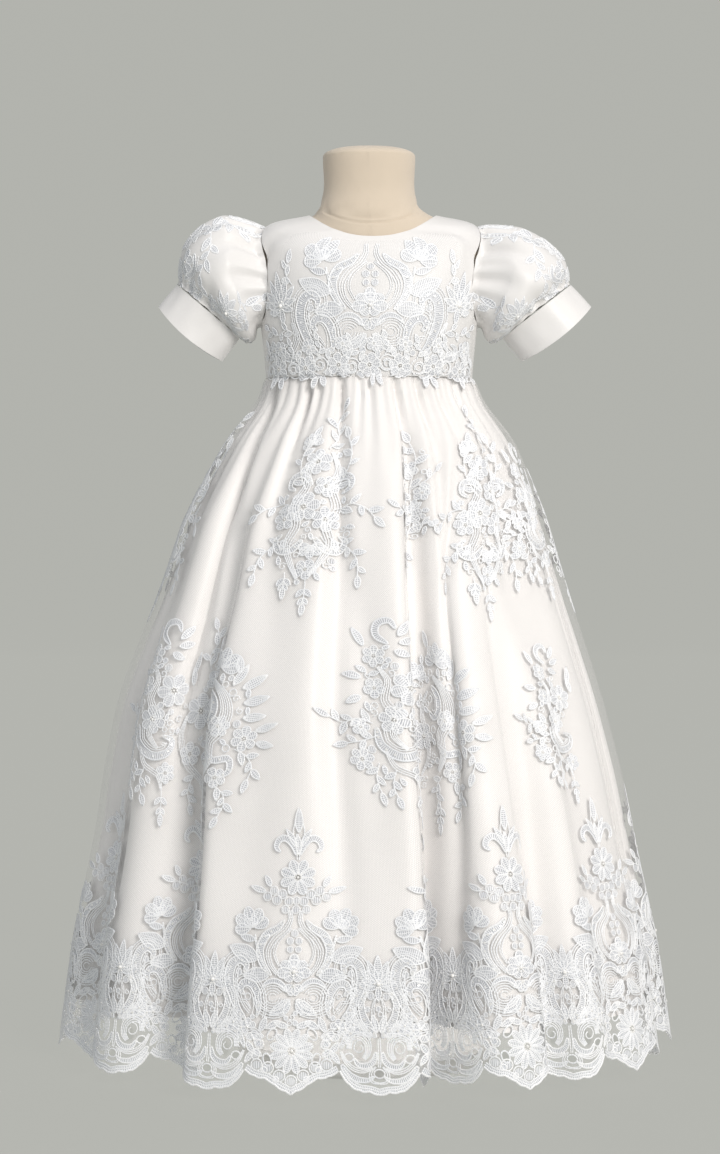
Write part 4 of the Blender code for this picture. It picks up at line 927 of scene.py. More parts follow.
def tulle_panel(first, last):
    """A tulle panel's flat pattern: columns and heights of its points, with triangles and quads."""
    walk = list(scallops(first, last))
    counts = [start + share * i / SCALLOPS[kind][3] for start, share, kind in walk for i in range(SCALLOPS[kind][3])]
    rows = np.linspace(1, 0, TULLE_ROWS) ** 1.1 * (1 - BORDER_HEIGHT / SKIRT_DROP)
    flat = [joined([*counts, last], rows[:, None]).reshape(-1, 2)]
    total, triangles = len(flat[0]), []
    nets = {kind: scallop_net(kind) for kind in (True, False)}
    for start, _, kind in walk:
        net, faces = nets[kind]
        flat.append(joined(start + net[:, 0] / REPEAT, 1 - net[:, 1] / SKIRT_DROP))
        triangles.append(faces + total)
        total += len(net)
    flat = np.concatenate(flat)
    _, place, back = np.unique(np.round(flat * 1e5), axis=0, return_index=True, return_inverse=True)
    back = back.reshape(-1)
    quads = grid_quads(TULLE_ROWS, len(counts) + 1)
    return flat[place], back[quads].tolist() + back[np.concatenate(triangles)].tolist()


def half_seam(counts):
    """Moves a panel's end columns in by half a seam's gap."""
    return counts + SKIRT_SEAM * ((counts == counts.min()) * 1 - (counts == counts.max()))


# Meshes

def make_piece(name, points, faces, uv, finishes, replaced=(), face_finish=None, tone=None, sharp=None):
    """A finished piece: its mesh, UV in millimetres, tone attribute, materials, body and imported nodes."""
    mesh = bpy.data.meshes.new(name)
    mesh.from_pydata(np.asarray(points, float), [], faces if isinstance(faces, list) else faces.tolist())
    corners = np.empty(len(mesh.loops), np.int32)
    mesh.loops.foreach_get("vertex_index", corners)
    mesh.uv_layers.new(name="cloth").uv.foreach_set("vector", np.asarray(uv, np.float32)[corners].ravel())
    if tone is not None:
        mesh.attributes.new("tone", "FLOAT", "POINT").data.foreach_set("value", np.asarray(tone, np.float32))
    for finish_name in finishes:
        mesh.materials.append(finish(finish_name))
    if face_finish is not None:
        mesh.polygons.foreach_set("material_index", np.asarray(face_finish, np.int32))
    mesh.shade_smooth()
    if sharp is not None:
        mesh.set_sharp_from_angle(angle=math.radians(sharp))
    mesh.validate()
    piece = bpy.data.objects.new(name, mesh)
    bpy.context.scene.collection.objects.link(piece)
    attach(piece, "root")
    if replaced:
        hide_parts(*replaced)
    return piece


def grid_quads(rows, columns, closed=False):
    """Quads over a grid of points, rows upwards; a closed one joins its last column to its first."""
    index = np.arange(rows * columns).reshape(rows, columns)
    if closed:
        index = np.hstack([index, index[:, :1]])
    return joined(index[:-1, :-1], index[:-1, 1:], index[1:, 1:], index[1:, :-1]).reshape(-1, 4)


def capped(rows, columns, turned=False):
    """Faces of a closed tube: quads round it and a face over each end. A turned one faces the other way."""
    ends = [list(range(columns))[::-1], list(range((rows - 1) * columns, rows * columns))]
    faces = grid_quads(rows, columns, True).tolist() + ends
    return [face[::-1] for face in faces] if turned else faces


def grid_normals(points, closed=False):
    """Unit normals of a grid of points: the cross product of its slopes along and up."""
    along = (np.roll(points, -1, axis=1) - np.roll(points, 1, axis=1)) / 2 if closed else np.gradient(points, axis=1)
    normal = np.cross(along, np.gradient(points, axis=0))
    return normal / np.maximum(np.linalg.norm(normal, axis=-1, keepdims=True), 1e-12)


def satin_wall(name, outer, inner, uv, node, closed=False, finish_name="satin", sharp=50):
    """A satin piece: a wall between two skins, grids of points, closed along the edges they leave open."""
    faces, count = grid_quads(*outer.shape[:2], closed), outer.size // 3
    walks = np.concatenate([joined(faces[:, i], faces[:, (i + 1) % 4]) for i in range(4)])
    a, b = walks[~np.isin(walks @ (count, 1), walks @ (1, count))].T
    faces = np.concatenate([faces, faces[:, ::-1] + count, joined(b, a, a + count, b + count)])
    points, uv = np.concatenate([outer, inner]).reshape(-1, 3), np.concatenate([uv, uv]).reshape(-1, 2)
    return make_piece(name, points, faces, uv, [finish_name], (node,), sharp=sharp)


def thinned(line, bend=0.36, reach=7):
    """Drops a line's points where it is nearly straight: one is kept for each bend in radians or length run."""
    step = np.diff(line, axis=0)
    heading = np.unwrap(np.arctan2(step[:, 1], step[:, 0]))
    cost = np.cumsum(np.abs(np.diff(heading)) / bend + np.linalg.norm(step, axis=1)[:-1] / reach)
    kept = np.concatenate([[True], np.diff(np.floor([0, *cost])) > 0, [True]])
    return line[kept]


def cord_strip(line, width):
    """A strip along a line whose middle stands out, like the upper half of a round cord."""
    line, width = thinned(line), width * CORD_SIZE
    sides = ((1, 0, 0), (0, 0.55 * width, 0.5), (-1, 0, 1))
    points = [joined(*beside(line, side * width / 2).T, LACE_FOOT + lift) for side, lift, _ in sides]
    uv = [joined(run(line), share) for _, _, share in sides]
    return np.concatenate(points), np.concatenate(uv), grid_quads(3, len(line))[:, ::-1], 0


def fill_strip(left, right, rise):
    """A crowned strip between two edges: its height is the sine of the way across."""
    width = np.linalg.norm(left - right, axis=1)
    across = 2 if width.max() < FINE_LEAF else 4
    share = np.linspace(0, 1, across + 1)[:, None]
    lift = LACE_FOOT - 0.1 + FILL_RISE * rise * np.sin(math.pi * (0.12 + 0.76 * share)) * np.ones((1, len(left)))
    points = np.concatenate([right + (left - right) * share[..., None], lift[..., None]], axis=-1)
    uv = joined(run((left + right) / 2), share * width)
    return points.reshape(-1, 3), uv.reshape(-1, 2), grid_quads(across + 1, len(left)), 1


def dome(x, z, radius):
    """Half a pearl in two rings, or a dished sequin of eight sides where the radius is negative."""
    if radius < 0:
        sides, levels, kind = 8, ((1, SEQUIN_LIFT), (0, SEQUIN_LIFT - 0.15)), 3
    else:
        sides, kind = 6, 2
        levels = [(size, LACE_FOOT + radius * high) for size, high in ((1, 0.25), (0.72, 1), (0, 1.3))]
    turn, reach = around(sides), abs(radius)
    rings = [joined(x + reach * size * np.cos(turn), z + reach * size * np.sin(turn), high)
             for size, high in levels[:-1]]
    points = np.vstack([*rings, [[x, z, levels[-1][1]]]])
    low, top = np.arange(sides), len(points) - 1
    following = (low + 1) % sides
    faces = [joined(low + top - sides, following + top - sides, top)]
    if len(rings) > 1:
        faces[:0] = [joined(low, following, following + sides), joined(low, following + sides, low + sides)]
    return points, points[:, :2], np.concatenate(faces), kind


def lace_mesh(lace, seed=0):
    """Flat lace as points (x, z, out) in millimetres, UV, tones, faces and the finish of each.

    The tone of each part wanders with its order.
    """
    parts = []
    for maker, work, offset in ((cord_strip, lace.cords, 0), (fill_strip, lace.fills, 0.5), (dome, lace.pearls, 0.25)):
        parts += [(*maker(*one), wander(number + seed + offset)) for number, one in enumerate(work)]
    points, uv, faces, kinds, tones = zip(*parts)
    sizes = [len(part) for part in points]
    starts = np.cumsum([0, *sizes[:-1]])
    return (np.concatenate(points), np.concatenate(uv), np.repeat(tones, sizes),
            [face for part, start in zip(faces, starts) for face in (part + start).tolist()],
            np.repeat(kinds, [len(part) for part in faces]))


def lay(name, placed, surface, replaced=()):
    """Lays placed lace, (lace mesh, where it goes), on a surface that maps x, z and out, as one piece."""
    points, faces, count = [], [], 0
    for mesh, place in placed:
        points.append(surface(place, *(mesh[0] * MM).T))
        faces += [[i + count for i in face] for face in mesh[3]]
        count += len(mesh[0])
    uv, tone, kinds = (np.concatenate([mesh[part] for mesh, _ in placed]) for part in (1, 2, 4))
    return make_piece(name, np.concatenate(points), faces, uv, LACE_FINISHES, replaced, kinds, tone)


# Sleeves and how lace lies on the cloth

def armhole(side, turn):
    """The armhole on the body: an oval in ring angle and height, turn 0 on top and 90 degrees in front."""
    height = ARMHOLE_LOW + (ARMHOLE_HIGH - ARMHOLE_LOW) * (1 + np.cos(turn)) / 2
    return body_point(side * (math.pi / 2 - ARMHOLE_HALF_ANGLE * np.sin(turn)), height)


def oval(which, top, under, half_y, turn):
    """A ring between a top and an under point (x, z), turn 0 at the top and 90 degrees in front."""
    ends = np.array([top, under])
    ends[:, 0] = SLEEVE_ROOT_X + (ends[:, 0] - SLEEVE_ROOT_X) * SLEEVE_REACH[which]
    x, z = (ends.sum(axis=0) / 2)[:, None] + ((ends[0] - ends[1]) / 2)[:, None] * np.cos(turn)
    return joined(SIDE[which] * x + body_value("lean", SLEEVE_LEAN_V), -half_y * np.sin(turn), z)


def ring_away(ring_points):
    """Unit directions from a ring's middle to its points."""
    away = ring_points - ring_points.mean(axis=0)
    return away / np.linalg.norm(away, axis=1, keepdims=True)


def sleeve_grid(which, columns, rows):
    """The gathered puff: rings carried smoothly from the armhole to the cuff seam, with troughs pressed in.

    Returns points and normals, rows by columns, from the cuff to the armhole on the left sleeve and the
    other way round on the right one, so faces point outwards.
    """
    side, turn = SIDE[which], around(columns)
    root = armhole(side, turn)
    root = root - SLEEVE_TUCK * ring_away(root)
    way_out = np.array([side * SLEEVE_WAY_OUT[0], 0, SLEEVE_WAY_OUT[1]])
    lifted = root + SLEEVE_FULLNESS * ring_away(root) + SLEEVE_LIFT * way_out
    rings = [root, lifted]
    for number, (top_x, top_z, under_x, under_z, half_y) in enumerate(np.array(SLEEVE) * MM, 1):
        sag = SLEEVE_SAG[which] * math.sin(math.pi * number / len(SLEEVE))
        rings.append(oval(which, (top_x, top_z - sag), (under_x, under_z), half_y, turn))
    share = np.linspace(0, 1, rows)[:, None]
    points = smooth(share[:, 0], SLEEVE_KNOTS, np.array(rings))[::side]
    out = SLEEVE_FULLNESS * np.sin(math.pi * share)
    for gathers, along in ((SHOULDER_GATHERS, share), (CUFF_GATHERS, 1 - share)):
        for at, wide, depth, reach in gathers:
            off = wrapped(np.degrees(turn) - at - 4 * math.sin(at) * along, 360)
            fade = np.clip(1 - along / reach, 0, 1) ** 0.8 * np.clip(along / 0.03, 0.25, 1)
            out = out - MM * depth * fade * np.exp(-(off / (wide * (1 + along))) ** 2)
    points = points + out[::side, :, None] * grid_normals(points, True)
    return points, grid_normals(points, True)


def cuff_grid(which, columns, rows):
    """The cuff band: ovals square to the sleeve's end that bow slightly, with rounded edges."""
    side, turn = SIDE[which], around(columns)
    top_x, top_z, under_x, under_z, half_y = np.array(SLEEVE[-1]) * MM
    across = np.array([top_x - under_x, top_z - under_z])
    axis = np.array([across[1], -across[0]]) / np.linalg.norm(across)
    crease = MM * sum(depth * np.exp(-(wrapped(np.degrees(turn) - at, 360) / wide) ** 2)
                      for at, wide, depth in CUFF_CREASES)
    rings = []
    for share in np.linspace(0, 1, rows):
        size = smooth(share, (0, 0.5, 1), (1, CUFF_BOW, CUFF_FLARE)) + 0.006 * math.sin(math.pi * share)
        middle = np.array([under_x, under_z]) + across / 2 + axis * (CUFF_GAP + (CUFF_DEPTH - CUFF_GAP) * share)
        band = oval(which, middle + across / 2 * size, middle - across / 2 * size, half_y * size, turn)
        drop_down = CUFF_DROP * share * np.sin(turn)[:, None] ** 2 * (side * axis[0], 0, axis[1])
        rings.append(band + drop_down - crease[:, None] * math.sin(math.pi * share) * ring_away(band))
    rings = np.array(rings[::side])
    return rings, grid_normals(rings, True)


def on_grid(points, normals, turn, share, out):
    """Points of a closed grid at a turn (0 to 1) and a row share, moved out, between its own points."""
    rows, columns = points.shape[:2]
    c, r = np.mod(turn, 1) * columns, np.clip(share, 0, 1) * (rows - 1)
    c0, r0 = np.floor(c).astype(int), np.minimum(np.floor(r).astype(int), rows - 2)
    fc, fr = (c - c0)[:, None], (r - r0)[:, None]
    c0, c1 = c0 % columns, (c0 + 1) % columns

    def mix(values):
        low = values[r0, c0] * (1 - fc) + values[r0, c1] * fc
        high = values[r0 + 1, c0] * (1 - fc) + values[r0 + 1, c1] * fc
        return low * (1 - fr) + high * fr

    return mix(points) + mix(normals) * out[:, None]


def skirt_surface(place, x, z, out):
    """Lays flat lace on the skirt round a column, lifted, z metres above the hem line.

    Within the border a metre across is a metre of hem, and above it a metre of the cloth at that height.
    """
    column, lift = place
    z = z + lift
    v = 1 - z / SKIRT_DROP
    above = cloth_width(v) * (REPEAT / cloth_width(1 - BORDER_HEIGHT / SKIRT_DROP))
    return skirt_point(column + x / np.where(z > BORDER_HEIGHT, above, REPEAT), v, out)


def girth_angle(x):
    """The ring angle at a distance round the chest from the front centre."""
    angles = np.linspace(-math.pi / 2, math.pi / 2, 181)
    length = run(body_point(angles, 0.4))
    return np.interp(x, length - length[90], angles)


def chest_surface(_, x, z, out):
    """Lays flat lace on the chest, x across the body's girth and z above the waist seam at the front."""
    return bodice_point(girth_angle(x), chest_v(z), out + NET_OUT)


def waist_surface(_, x, z, out):
    """Lays flat lace over the waist seam: on the bodice above it, and clear of the gathers below."""
    turn = girth_angle(x)
    clear = np.clip((0.002 - z) / 0.008, 0, 1)
    out = out + WAIST_LIFT + WAIST_CLEAR * clear * clear * (3 - 2 * clear)
    on_body = bodice_point(turn, np.clip(chest_v(z), 0, 1), out)
    v = np.clip(-z, 0, 1) / SKIRT_DROP
    on_skirt = skirt_smooth(turn, v) + out[:, None] * facing(skirt_smooth, turn, v, -1)
    return np.where((z > 0)[:, None], on_body, on_skirt)


def bite(v):
    """How far the armhole cuts into a bodice row, as a ring angle: half an oval's width at its height."""
    share = np.clip((v - ARMHOLE_LOW) / (ARMHOLE_HIGH - ARMHOLE_LOW), 0, 1)
    return ARMHOLE_HALF_ANGLE * 2 * np.sqrt(share * (1 - share))


# Finishes

class Finish:
    """A material whose nodes are added one by one."""

    def __init__(self, name, roughness=0.5, **fixed):
        self.material = bpy.data.materials.new(name)
        self.material.use_nodes = True
        self.tree = self.material.node_tree
        self.shader = self.tree.nodes["Principled BSDF"]
        for socket, value in {"Roughness": roughness, **fixed}.items():
            self.shader.inputs[socket.replace("_", " ")].default_value = value

    def put(self, socket, value):
        """Fills a socket with a link, a colour or a number."""
        if isinstance(value, bpy.types.NodeSocket):
            self.tree.links.new(value, socket)
        else:
            socket.default_value = (*value, 1) if socket.type == "RGBA" else value

    def node(self, kind, values=(), **settings):
        """Adds a node: its settings by name, its inputs by number or name, as values or links."""
        made = self.tree.nodes.new(f"ShaderNode{kind}")
        for key, value in settings.items():
            setattr(made, key, value)
        for key, value in dict(values).items():
            self.put(made.inputs[key], value)
        return made

    def maths(self, operation, *values):
        return self.node("Math", dict(enumerate(values)), operation=operation).outputs[0]

    def weave_place(self, x_size=1, y_size=1):
        """The piece's own cloth coordinates in millimetres, sized."""
        return self.node("Mapping", {0: self.node("UVMap", uv_map="cloth").outputs[0],
                                     "Scale": (x_size, y_size, 1)}).outputs[0]

    def noise(self, place, detail=2):
        return self.node("TexNoise", {"Vector": place, "Scale": 1, "Detail": detail}).outputs["Fac"]

    def cloud(self, size, detail=2):
        """Noise in the object's own space, size times finer than a metre."""
        place = self.node("Mapping", {0: self.node("TexCoord").outputs["Object"], "Scale": (size, size, size)})
        return self.noise(place.outputs[0], detail)

    def bands(self, place, direction_name, size, distortion, detail=2):
        """Threads side by side: a sine wave across them."""
        return self.node("TexWave", {"Vector": place, "Scale": size, "Distortion": distortion, "Detail": detail},
                         wave_type="BANDS", bands_direction=direction_name).outputs["Fac"]

    def tone(self):
        return self.node("Attribute", attribute_name="tone").outputs["Fac"]

    def span(self, value, *limits):
        """A value carried from one range to another: from low, from high, to low, to high."""
        return self.node("MapRange", {0: value, **dict(enumerate(limits, 1))}).outputs[0]

    def blend(self, share, first, second):
        return self.node("Mix", {"Factor": share, 6: first, 7: second}, data_type="RGBA").outputs[2]

    def set(self, socket, value):
        self.put(self.shader.inputs[socket], value)

    def relief(self, height, distance, strength=1):
        self.set("Normal", self.node("Bump", {"Height": height, "Distance": distance, "Strength": strength}).outputs[0])

    def mottled(self, share, colour, depth):
        """A base colour blended with a deeper one of its own."""
        self.set("Base Color", self.blend(share, colour, deeper(colour, depth)))


def deeper(colour, share):
    return tuple(c * share for c in colour)


def satin_finish(looks, name="satin", colour=None):
    """Satin: long warp floats, faint slubs along them, and a soft broken sheen."""
    made = Finish(name, 0.42, Sheen_Weight=0.25, Sheen_Roughness=0.45, Specular_IOR_Level=0.4)
    floats = made.noise(made.weave_place(3.2, 0.35), 1)
    slubs = made.noise(made.weave_place(0.55, 0.035))
    # Painted shade: the default colour is the bodice satin's darker copy; the skirt passes its paler copy, painted
    # light
    made.mottled(made.span(made.cloud(14, 3), 0.3, 0.7, 0, 1), colour or tuple(looks.satin), 0.965)
    made.set("Roughness", made.span(made.maths("MULTIPLY", floats, slubs), 0.1, 0.4, 0.34, 0.5))
    made.relief(made.maths("MULTIPLY_ADD", slubs, 2, floats), 0.00006, 0.5)
    return made


def net_finish(name, colour, pitch, open_share, thread_share):
    """Tulle: a hexagon net from three cosine waves 60 degrees apart, high in its holes and low on its threads."""
    made = Finish(name, 0.55, Sheen_Weight=0.25, Sheen_Roughness=0.5, Specular_IOR_Level=0.3)
    wave = 4 * math.pi / math.sqrt(3) / pitch
    height = 0
    for turn in (0, 60, 120):
        along = made.node("VectorMath", {0: made.weave_place(wave, wave), 1: (*direction(turn), 0)},
                          operation="DOT_PRODUCT")
        cosine = made.maths("COSINE", along.outputs["Value"])
        height = made.maths("ADD", height, cosine) if turn else cosine
    made.mottled(made.cloud(9), colour, 0.97)
    made.set("Alpha", made.span(height, 0.4, 1.3, thread_share, open_share))
    made.relief(made.maths("MULTIPLY", height, -1), 0.00008, 0.6)
    return made


def cord_finish(looks):
    """Rayon cord: two twisted strands, with painted shade in the grooves between them and a painted shadow towards its
    edges where it meets the ground, so it reads paler on top.
    """
    made = Finish("lace_cord", 0.4, Sheen_Weight=0.2, Sheen_Roughness=0.4, Specular_IOR_Level=0.55)
    twist = made.bands(made.weave_place(1, 0.9), "DIAGONAL", looks.twist, 0.3)
    silver = made.blend(made.tone(), looks.lace, looks.thread)
    across = made.node("SeparateXYZ", {0: made.weave_place()}).outputs[1]
    # Painted shadow: the colour darkens towards the cord's two edges, where it meets the ground
    foot = made.span(made.maths("ABSOLUTE", made.maths("SUBTRACT", across, 0.5)), 0.32, 0.5, 0, 0.34)
    # Painted shade: the grooves of the twist are darkened as well
    made.set("Base Color", made.blend(foot, made.blend(made.span(twist, 0, 0.5, 0.14, 0), silver, looks.shade),
                                      looks.shade))
    made.relief(twist, 0.0002, 0.8)
    return made


def stitch_finish(looks):
    """Stitched filling: thin threads side by side across each leaf, the ground showing between them. Its colour is pale
    on the threads' raised tops and carries painted shade in the low places between them, more on some pieces at random.
    """
    made = Finish("lace_stitch", 0.4, Sheen_Weight=0.2, Sheen_Roughness=0.4, Specular_IOR_Level=0.5)
    threads = made.bands(made.weave_place(), "X", looks.stitch, 0.5)
    uneven = made.noise(made.weave_place(0.9, 0.25))
    # Painted shade: the filling's colour is blended towards the thread-shade colour by a random amount for each piece
    silver = made.blend(made.maths("MULTIPLY", made.tone(), 0.6), looks.fill_thread, looks.shade)
    relief = made.maths("MULTIPLY", threads, uneven)
    # Painted shade between the threads: low places keep the shaded colour and raised threads turn pale
    made.set("Base Color", made.blend(made.span(relief, 0.1, 0.6, 0, 0.8), silver, looks.lace))
    made.set("Alpha", made.span(made.maths("ADD", threads, uneven), 0.3, 1.3, 0.38, 0.92))
    made.relief(relief, 0.00014, 0.7)
    return made


def pearl_finish(looks):
    """Pearl: a clear coat over a cloudy body."""
    made = Finish("pearl", 0.22, Coat_Weight=0.6, Coat_Roughness=0.08, Specular_IOR_Level=0.6)
    cloud = made.cloud(160, 3)
    made.mottled(cloud, looks.pearl, 0.9)
    made.set("Roughness", made.span(cloud, 0.3, 0.7, 0.18, 0.3))
    return made


def sequin_finish(looks):
    """Sequin: a clear shiny disc with a faint change of hue from piece to piece."""
    made = Finish("sequin", 0.16, Coat_Weight=0.8, Coat_Roughness=0.05, Metallic=0.15, Specular_IOR_Level=0.8)
    hue = made.maths("MULTIPLY", made.tone(), made.cloud(300, 1))
    made.set("Base Color", made.blend(hue, looks.pearl, looks.thread))
    return made


def jersey_finish(looks):
    """Cotton jersey: columns of small knit loops with a soft nap, and painted shade darkening the colour between the
    loops by a random amount.
    """
    made = Finish("jersey", 0.85, Sheen_Weight=0.35, Sheen_Roughness=0.6, Specular_IOR_Level=0.25)
    place = made.weave_place()
    loops = made.maths("MULTIPLY", made.bands(place, "X", looks.wale, 0.4, 1),
                       made.bands(place, "Y", looks.wale * 1.3, 0.8, 1))
    fluff = made.cloud(60, 4)
    # Painted shade: the colour darkens in the low places between the loops, scaled by the random nap
    made.mottled(made.maths("MULTIPLY", made.span(loops, 0, 0.5, 0.5, 0), fluff), looks.jersey, 0.8)
    made.relief(made.maths("ADD", loops, fluff), 0.00022, 0.6)
    return made


def stand_finish(looks):
    """Sprayed steel: a fine orange-peel coat over faint mottling."""
    made = Finish("stand_paint", 0.36, Coat_Weight=0.25, Coat_Roughness=0.2)
    cloud = made.cloud(24, 3)
    made.mottled(cloud, looks.stand, 0.93)
    made.set("Roughness", made.span(cloud, 0.3, 0.7, 0.3, 0.42))
    made.relief(made.cloud(420), 0.00008, 0.4)
    return made


def studio_finish(looks):
    """The studio's paper: matt, mostly its own pale grey so that its tone stays even."""
    made = Finish("studio_paper", 0.95, Specular_IOR_Level=0.1, Emission_Strength=looks.paper_glow)
    made.set("Base Color", made.blend(made.cloud(3), deeper(looks.paper, 0.07), deeper(looks.paper, 0.06)))
    made.set("Emission Color", looks.paper)
    return made


# How each finish is made from the gown's colours
FINISHES = {
    "satin": satin_finish, "lace_cord": cord_finish, "lace_stitch": stitch_finish, "pearl": pearl_finish,
    "sequin": sequin_finish, "jersey": jersey_finish, "stand": stand_finish, "paper": studio_finish,
    # The skirt's satin: a paler copy of the bodice satin's colour, painted light making up for the light the tulle
    # takes from it
    "skirt_satin": lambda looks: satin_finish(looks, "skirt_satin", tuple(looks.brightened_skirt_satin)),
    "tulle": lambda looks: net_finish("tulle_net", looks.tulle, looks.net_pitch, 0.05, 0.22),
    "lace_net": lambda looks: net_finish("lace_net", looks.lace, looks.net_pitch * 1.15, 0, 0.12),
}
LACE_FINISHES = ("lace_cord", "lace_stitch", "pearl", "sequin")


@functools.cache
def finish(name):
    """A finish's material, made once."""
    return FINISHES[name](bpy.context.scene.gown_looks).material


# Settings

def tint(name, description, default):
    return FloatVectorProperty(name=name, description=description, default=default, min=0, max=1, subtype="COLOR")


def measure(name, description, default, low, high, kind="NONE", unit="NONE"):
    return FloatProperty(name=name, description=description, default=default, min=low, max=high, subtype=kind,
                         unit=unit)


def glow(name, description, default):
    return measure(name, description, default, 0, 500, "POWER", "POWER")


class GownLooks(bpy.types.PropertyGroup):
    """Colours and thread sizes."""

    # Painted shade: the bodice and sleeves are the skirt's satin, given a darker copy of its colour against the strong
    # light on them
    satin: tint("Satin", "Colour of the bodice and sleeves", (0.815, 0.8, 0.79))
    # Painted light: the skirt's satin is given a paler copy of the same satin's colour, making up for the light the
    # tulle takes
    brightened_skirt_satin: tint("Skirt satin", "Colour of the underskirt", (0.945, 0.922, 0.908))
    tulle: tint("Tulle", "Colour of the overskirt's net", (0.95, 0.94, 0.93))
    lace: tint("Lace", "Palest colour of the lace cords", (0.985, 0.988, 0.992))
    thread: tint("Silver thread", "Coolest colour of the lace cords", (0.91, 0.925, 0.95))
    fill_thread: tint("Filling", "Colour of the stitched filling", (0.76, 0.783, 0.83))
    # Painted shade: the colour laid at the lace cords' edges, in their twist and between the stitched threads
    shade: tint("Thread shade", "Colour between threads", (0.54, 0.572, 0.645))
    pearl: tint("Pearl", "Colour of pearls and buttons", (0.95, 0.94, 0.92))
    jersey: tint("Jersey", "Colour of the form's cover", (0.74, 0.63, 0.5))
    stand: tint("Stand", "Colour of the painted pole and base", (0.74, 0.735, 0.72))
    paper: tint("Paper", "Colour of the studio's paper", (0.455, 0.46, 0.428))
    paper_glow: measure("Paper glow", "How much of its own tone the paper keeps", 0.953, 0, 2)
    net_pitch: measure("Net pitch", "Distance between the tulle's holes in millimetres", 1.5, 0.5, 6)
    twist: measure("Cord twist", "Turns of a lace cord's strands", 0.25, 0.1, 2)
    stitch: measure("Stitch", "Fineness of the stitched filling", 0.2, 0.1, 3)
    wale: measure("Knit", "Fineness of the jersey's wales", 0.45, 0.1, 2)


class GownCut(bpy.types.PropertyGroup):
    """What a maker would change without redrawing the pattern."""

    satin_thick: measure("Satin", "Thickness of the satin", 0.0008, 0.0004, 0.0018, "DISTANCE", "LENGTH")
    back_buttons: IntProperty(name="Buttons", description="Buttons down the centre back", default=5, min=1, max=5)


class GownStudio(bpy.types.PropertyGroup):
    """Camera and lights."""

    lens: measure("Lens", "Focal length of the camera", 85, 20, 200, "DISTANCE_CAMERA", "CAMERA")
    key: glow("Key light", "Power of the warm light on the right", 102)
    fill: glow("Fill light", "Power of the cool light on the left", 7)
    top: glow("Top light", "Power of the light overhead", 10)
    under: glow("Inner light", "Power of the light inside the skirt", 0.55)
    air: measure("Air", "Strength of the light from all round", 0.34, 0, 3)


# Operators


class PieceOperator:
    bl_options = {"REGISTER", "UNDO"}

    def execute(self, context):
        self.build(context.scene)
        return {"FINISHED"}


class GOWN_OT_form(PieceOperator, bpy.types.Operator):
    """The jersey cover: rings of the body and neck joined by a smooth curve, with a seam pressed in at the neck"""

    bl_idname = "gown.form"
    bl_label = "Form and stand"

    def build(self, scene):
        turn = around(FORM_COLUMNS)

        def level(z, half_x, half_y, back):
            return joined(half_x * power(np.sin(turn)) + body_value("lean", 0), back - half_y * power(np.cos(turn)), z)

        def climb(rings):
            """How far up the cover each ring lies, on average round it."""
            return np.concatenate([[0], np.cumsum(np.linalg.norm(np.diff(rings, axis=0), axis=2).mean(axis=1))])

        rings = [level(*ring_size, 0) for ring_size in FORM_HIP]
        for v in np.linspace(0, 1, 14):
            inset = 0.0024 + 0.003 * max(0, 1 - v / 0.45) + 0.0022 * min(1, 12 * (1 - v), v / 0.3)
            rings.append(body_point(turn, v) - inset * facing(body_point, turn, np.full(FORM_COLUMNS, v), 1))
        rings = np.array([*rings, *(level(*ring_size, NECK_BACK) for ring_size in FORM_NECK)])
        way = climb(rings)
        fine = way[-4] - 0.03, way[-4] + 0.012
        steps = [*np.linspace(0, fine[0], 30)[:-1], *np.linspace(*fine, 56)[:-1], *np.linspace(fine[1], way[-1], 12)]
        body = smooth(steps, way, rings)
        off = body[..., 2] - (NECK_SEAM_Z - NECK_SEAM_DIP * np.cos(turn) ** 2)
        groove = np.exp(-(off / GROOVE_HALF) ** 2) + 0.8 * np.exp(-((off - GROOVE_APART) / GROOVE_HALF) ** 2)
        body = body - (GROOVE_DEPTH * groove)[..., None] * grid_normals(body, True)
        top_z, half_x, half_y = FORM_NECK[-1]
        cap = []
        for share in np.linspace(0.05, 1, 9):
            size = math.cos(share * math.pi / 2 * 0.86) if share < 1 else 0.02
            cap.append(level(top_z + 0.0085 * math.sin(share * math.pi / 2), half_x * size, half_y * size, NECK_BACK))
        points = np.concatenate([body, cap])
        uv = joined(np.linspace(0, 560, FORM_COLUMNS), climb(points)[:, None] / MM)
        make_piece("form_jersey", points.reshape(-1, 3), capped(*points.shape[:2]), uv.reshape(-1, 2), ["jersey"],
                   ("form_body", "form_neck", "form_neck_cap"))
        for name in ("stand_pole", "stand_base"):
            for slot in bpy.data.objects[name].material_slots:
                slot.material = finish("stand")


class GOWN_OT_bodice(PieceOperator, bpy.types.Operator):
    """Three satin panels on the body's surface, creased by long narrow bells, each a wall of two skins"""

    bl_idname = "gown.bodice"
    bl_label = "Bodice"

    def build(self, scene):
        v = np.concatenate([np.linspace(-0.008, ARMHOLE_LOW, 14)[:-1],
                            ARMHOLE_LOW + (ARMHOLE_HIGH - ARMHOLE_LOW) * swing(30),
                            np.linspace(ARMHOLE_HIGH, 1, 7)[1:]])[:, None]
        edge = math.pi / 2 - bite(v) - np.where(bite(v) > 0, ARMHOLE_TURNED, BODICE_SEAM)
        side = math.pi / 2 + bite(v) + np.where(bite(v) > 0, ARMHOLE_TURNED, BODICE_SEAM)
        middle = math.pi - BODICE_SEAM + 0 * v
        for name, first, last, columns, flat in (("front", -edge, edge, 97, (0.25, 0.165)),
                                                 ("back_right", side, middle, 49, (0.13, 0.165)),
                                                 ("back_left", -middle, -side, 49, (0.13, 0.165))):
            angle = first + (last - first) * np.linspace(0, 1, columns)
            inner = bodice_point(angle, v, -scene.gown_cut.satin_thick)
            piece = satin_wall(f"bodice_satin_{name}", bodice_point(angle, v), inner, bodice_uv(angle, v),
                               f"bodice_{name}")


def bodice_uv(angle, v):
    """Cloth coordinates in millimetres on the body: round the chest and up it."""
    return joined(angle * CHEST_RADIUS, v * CLOTH_HEIGHT)


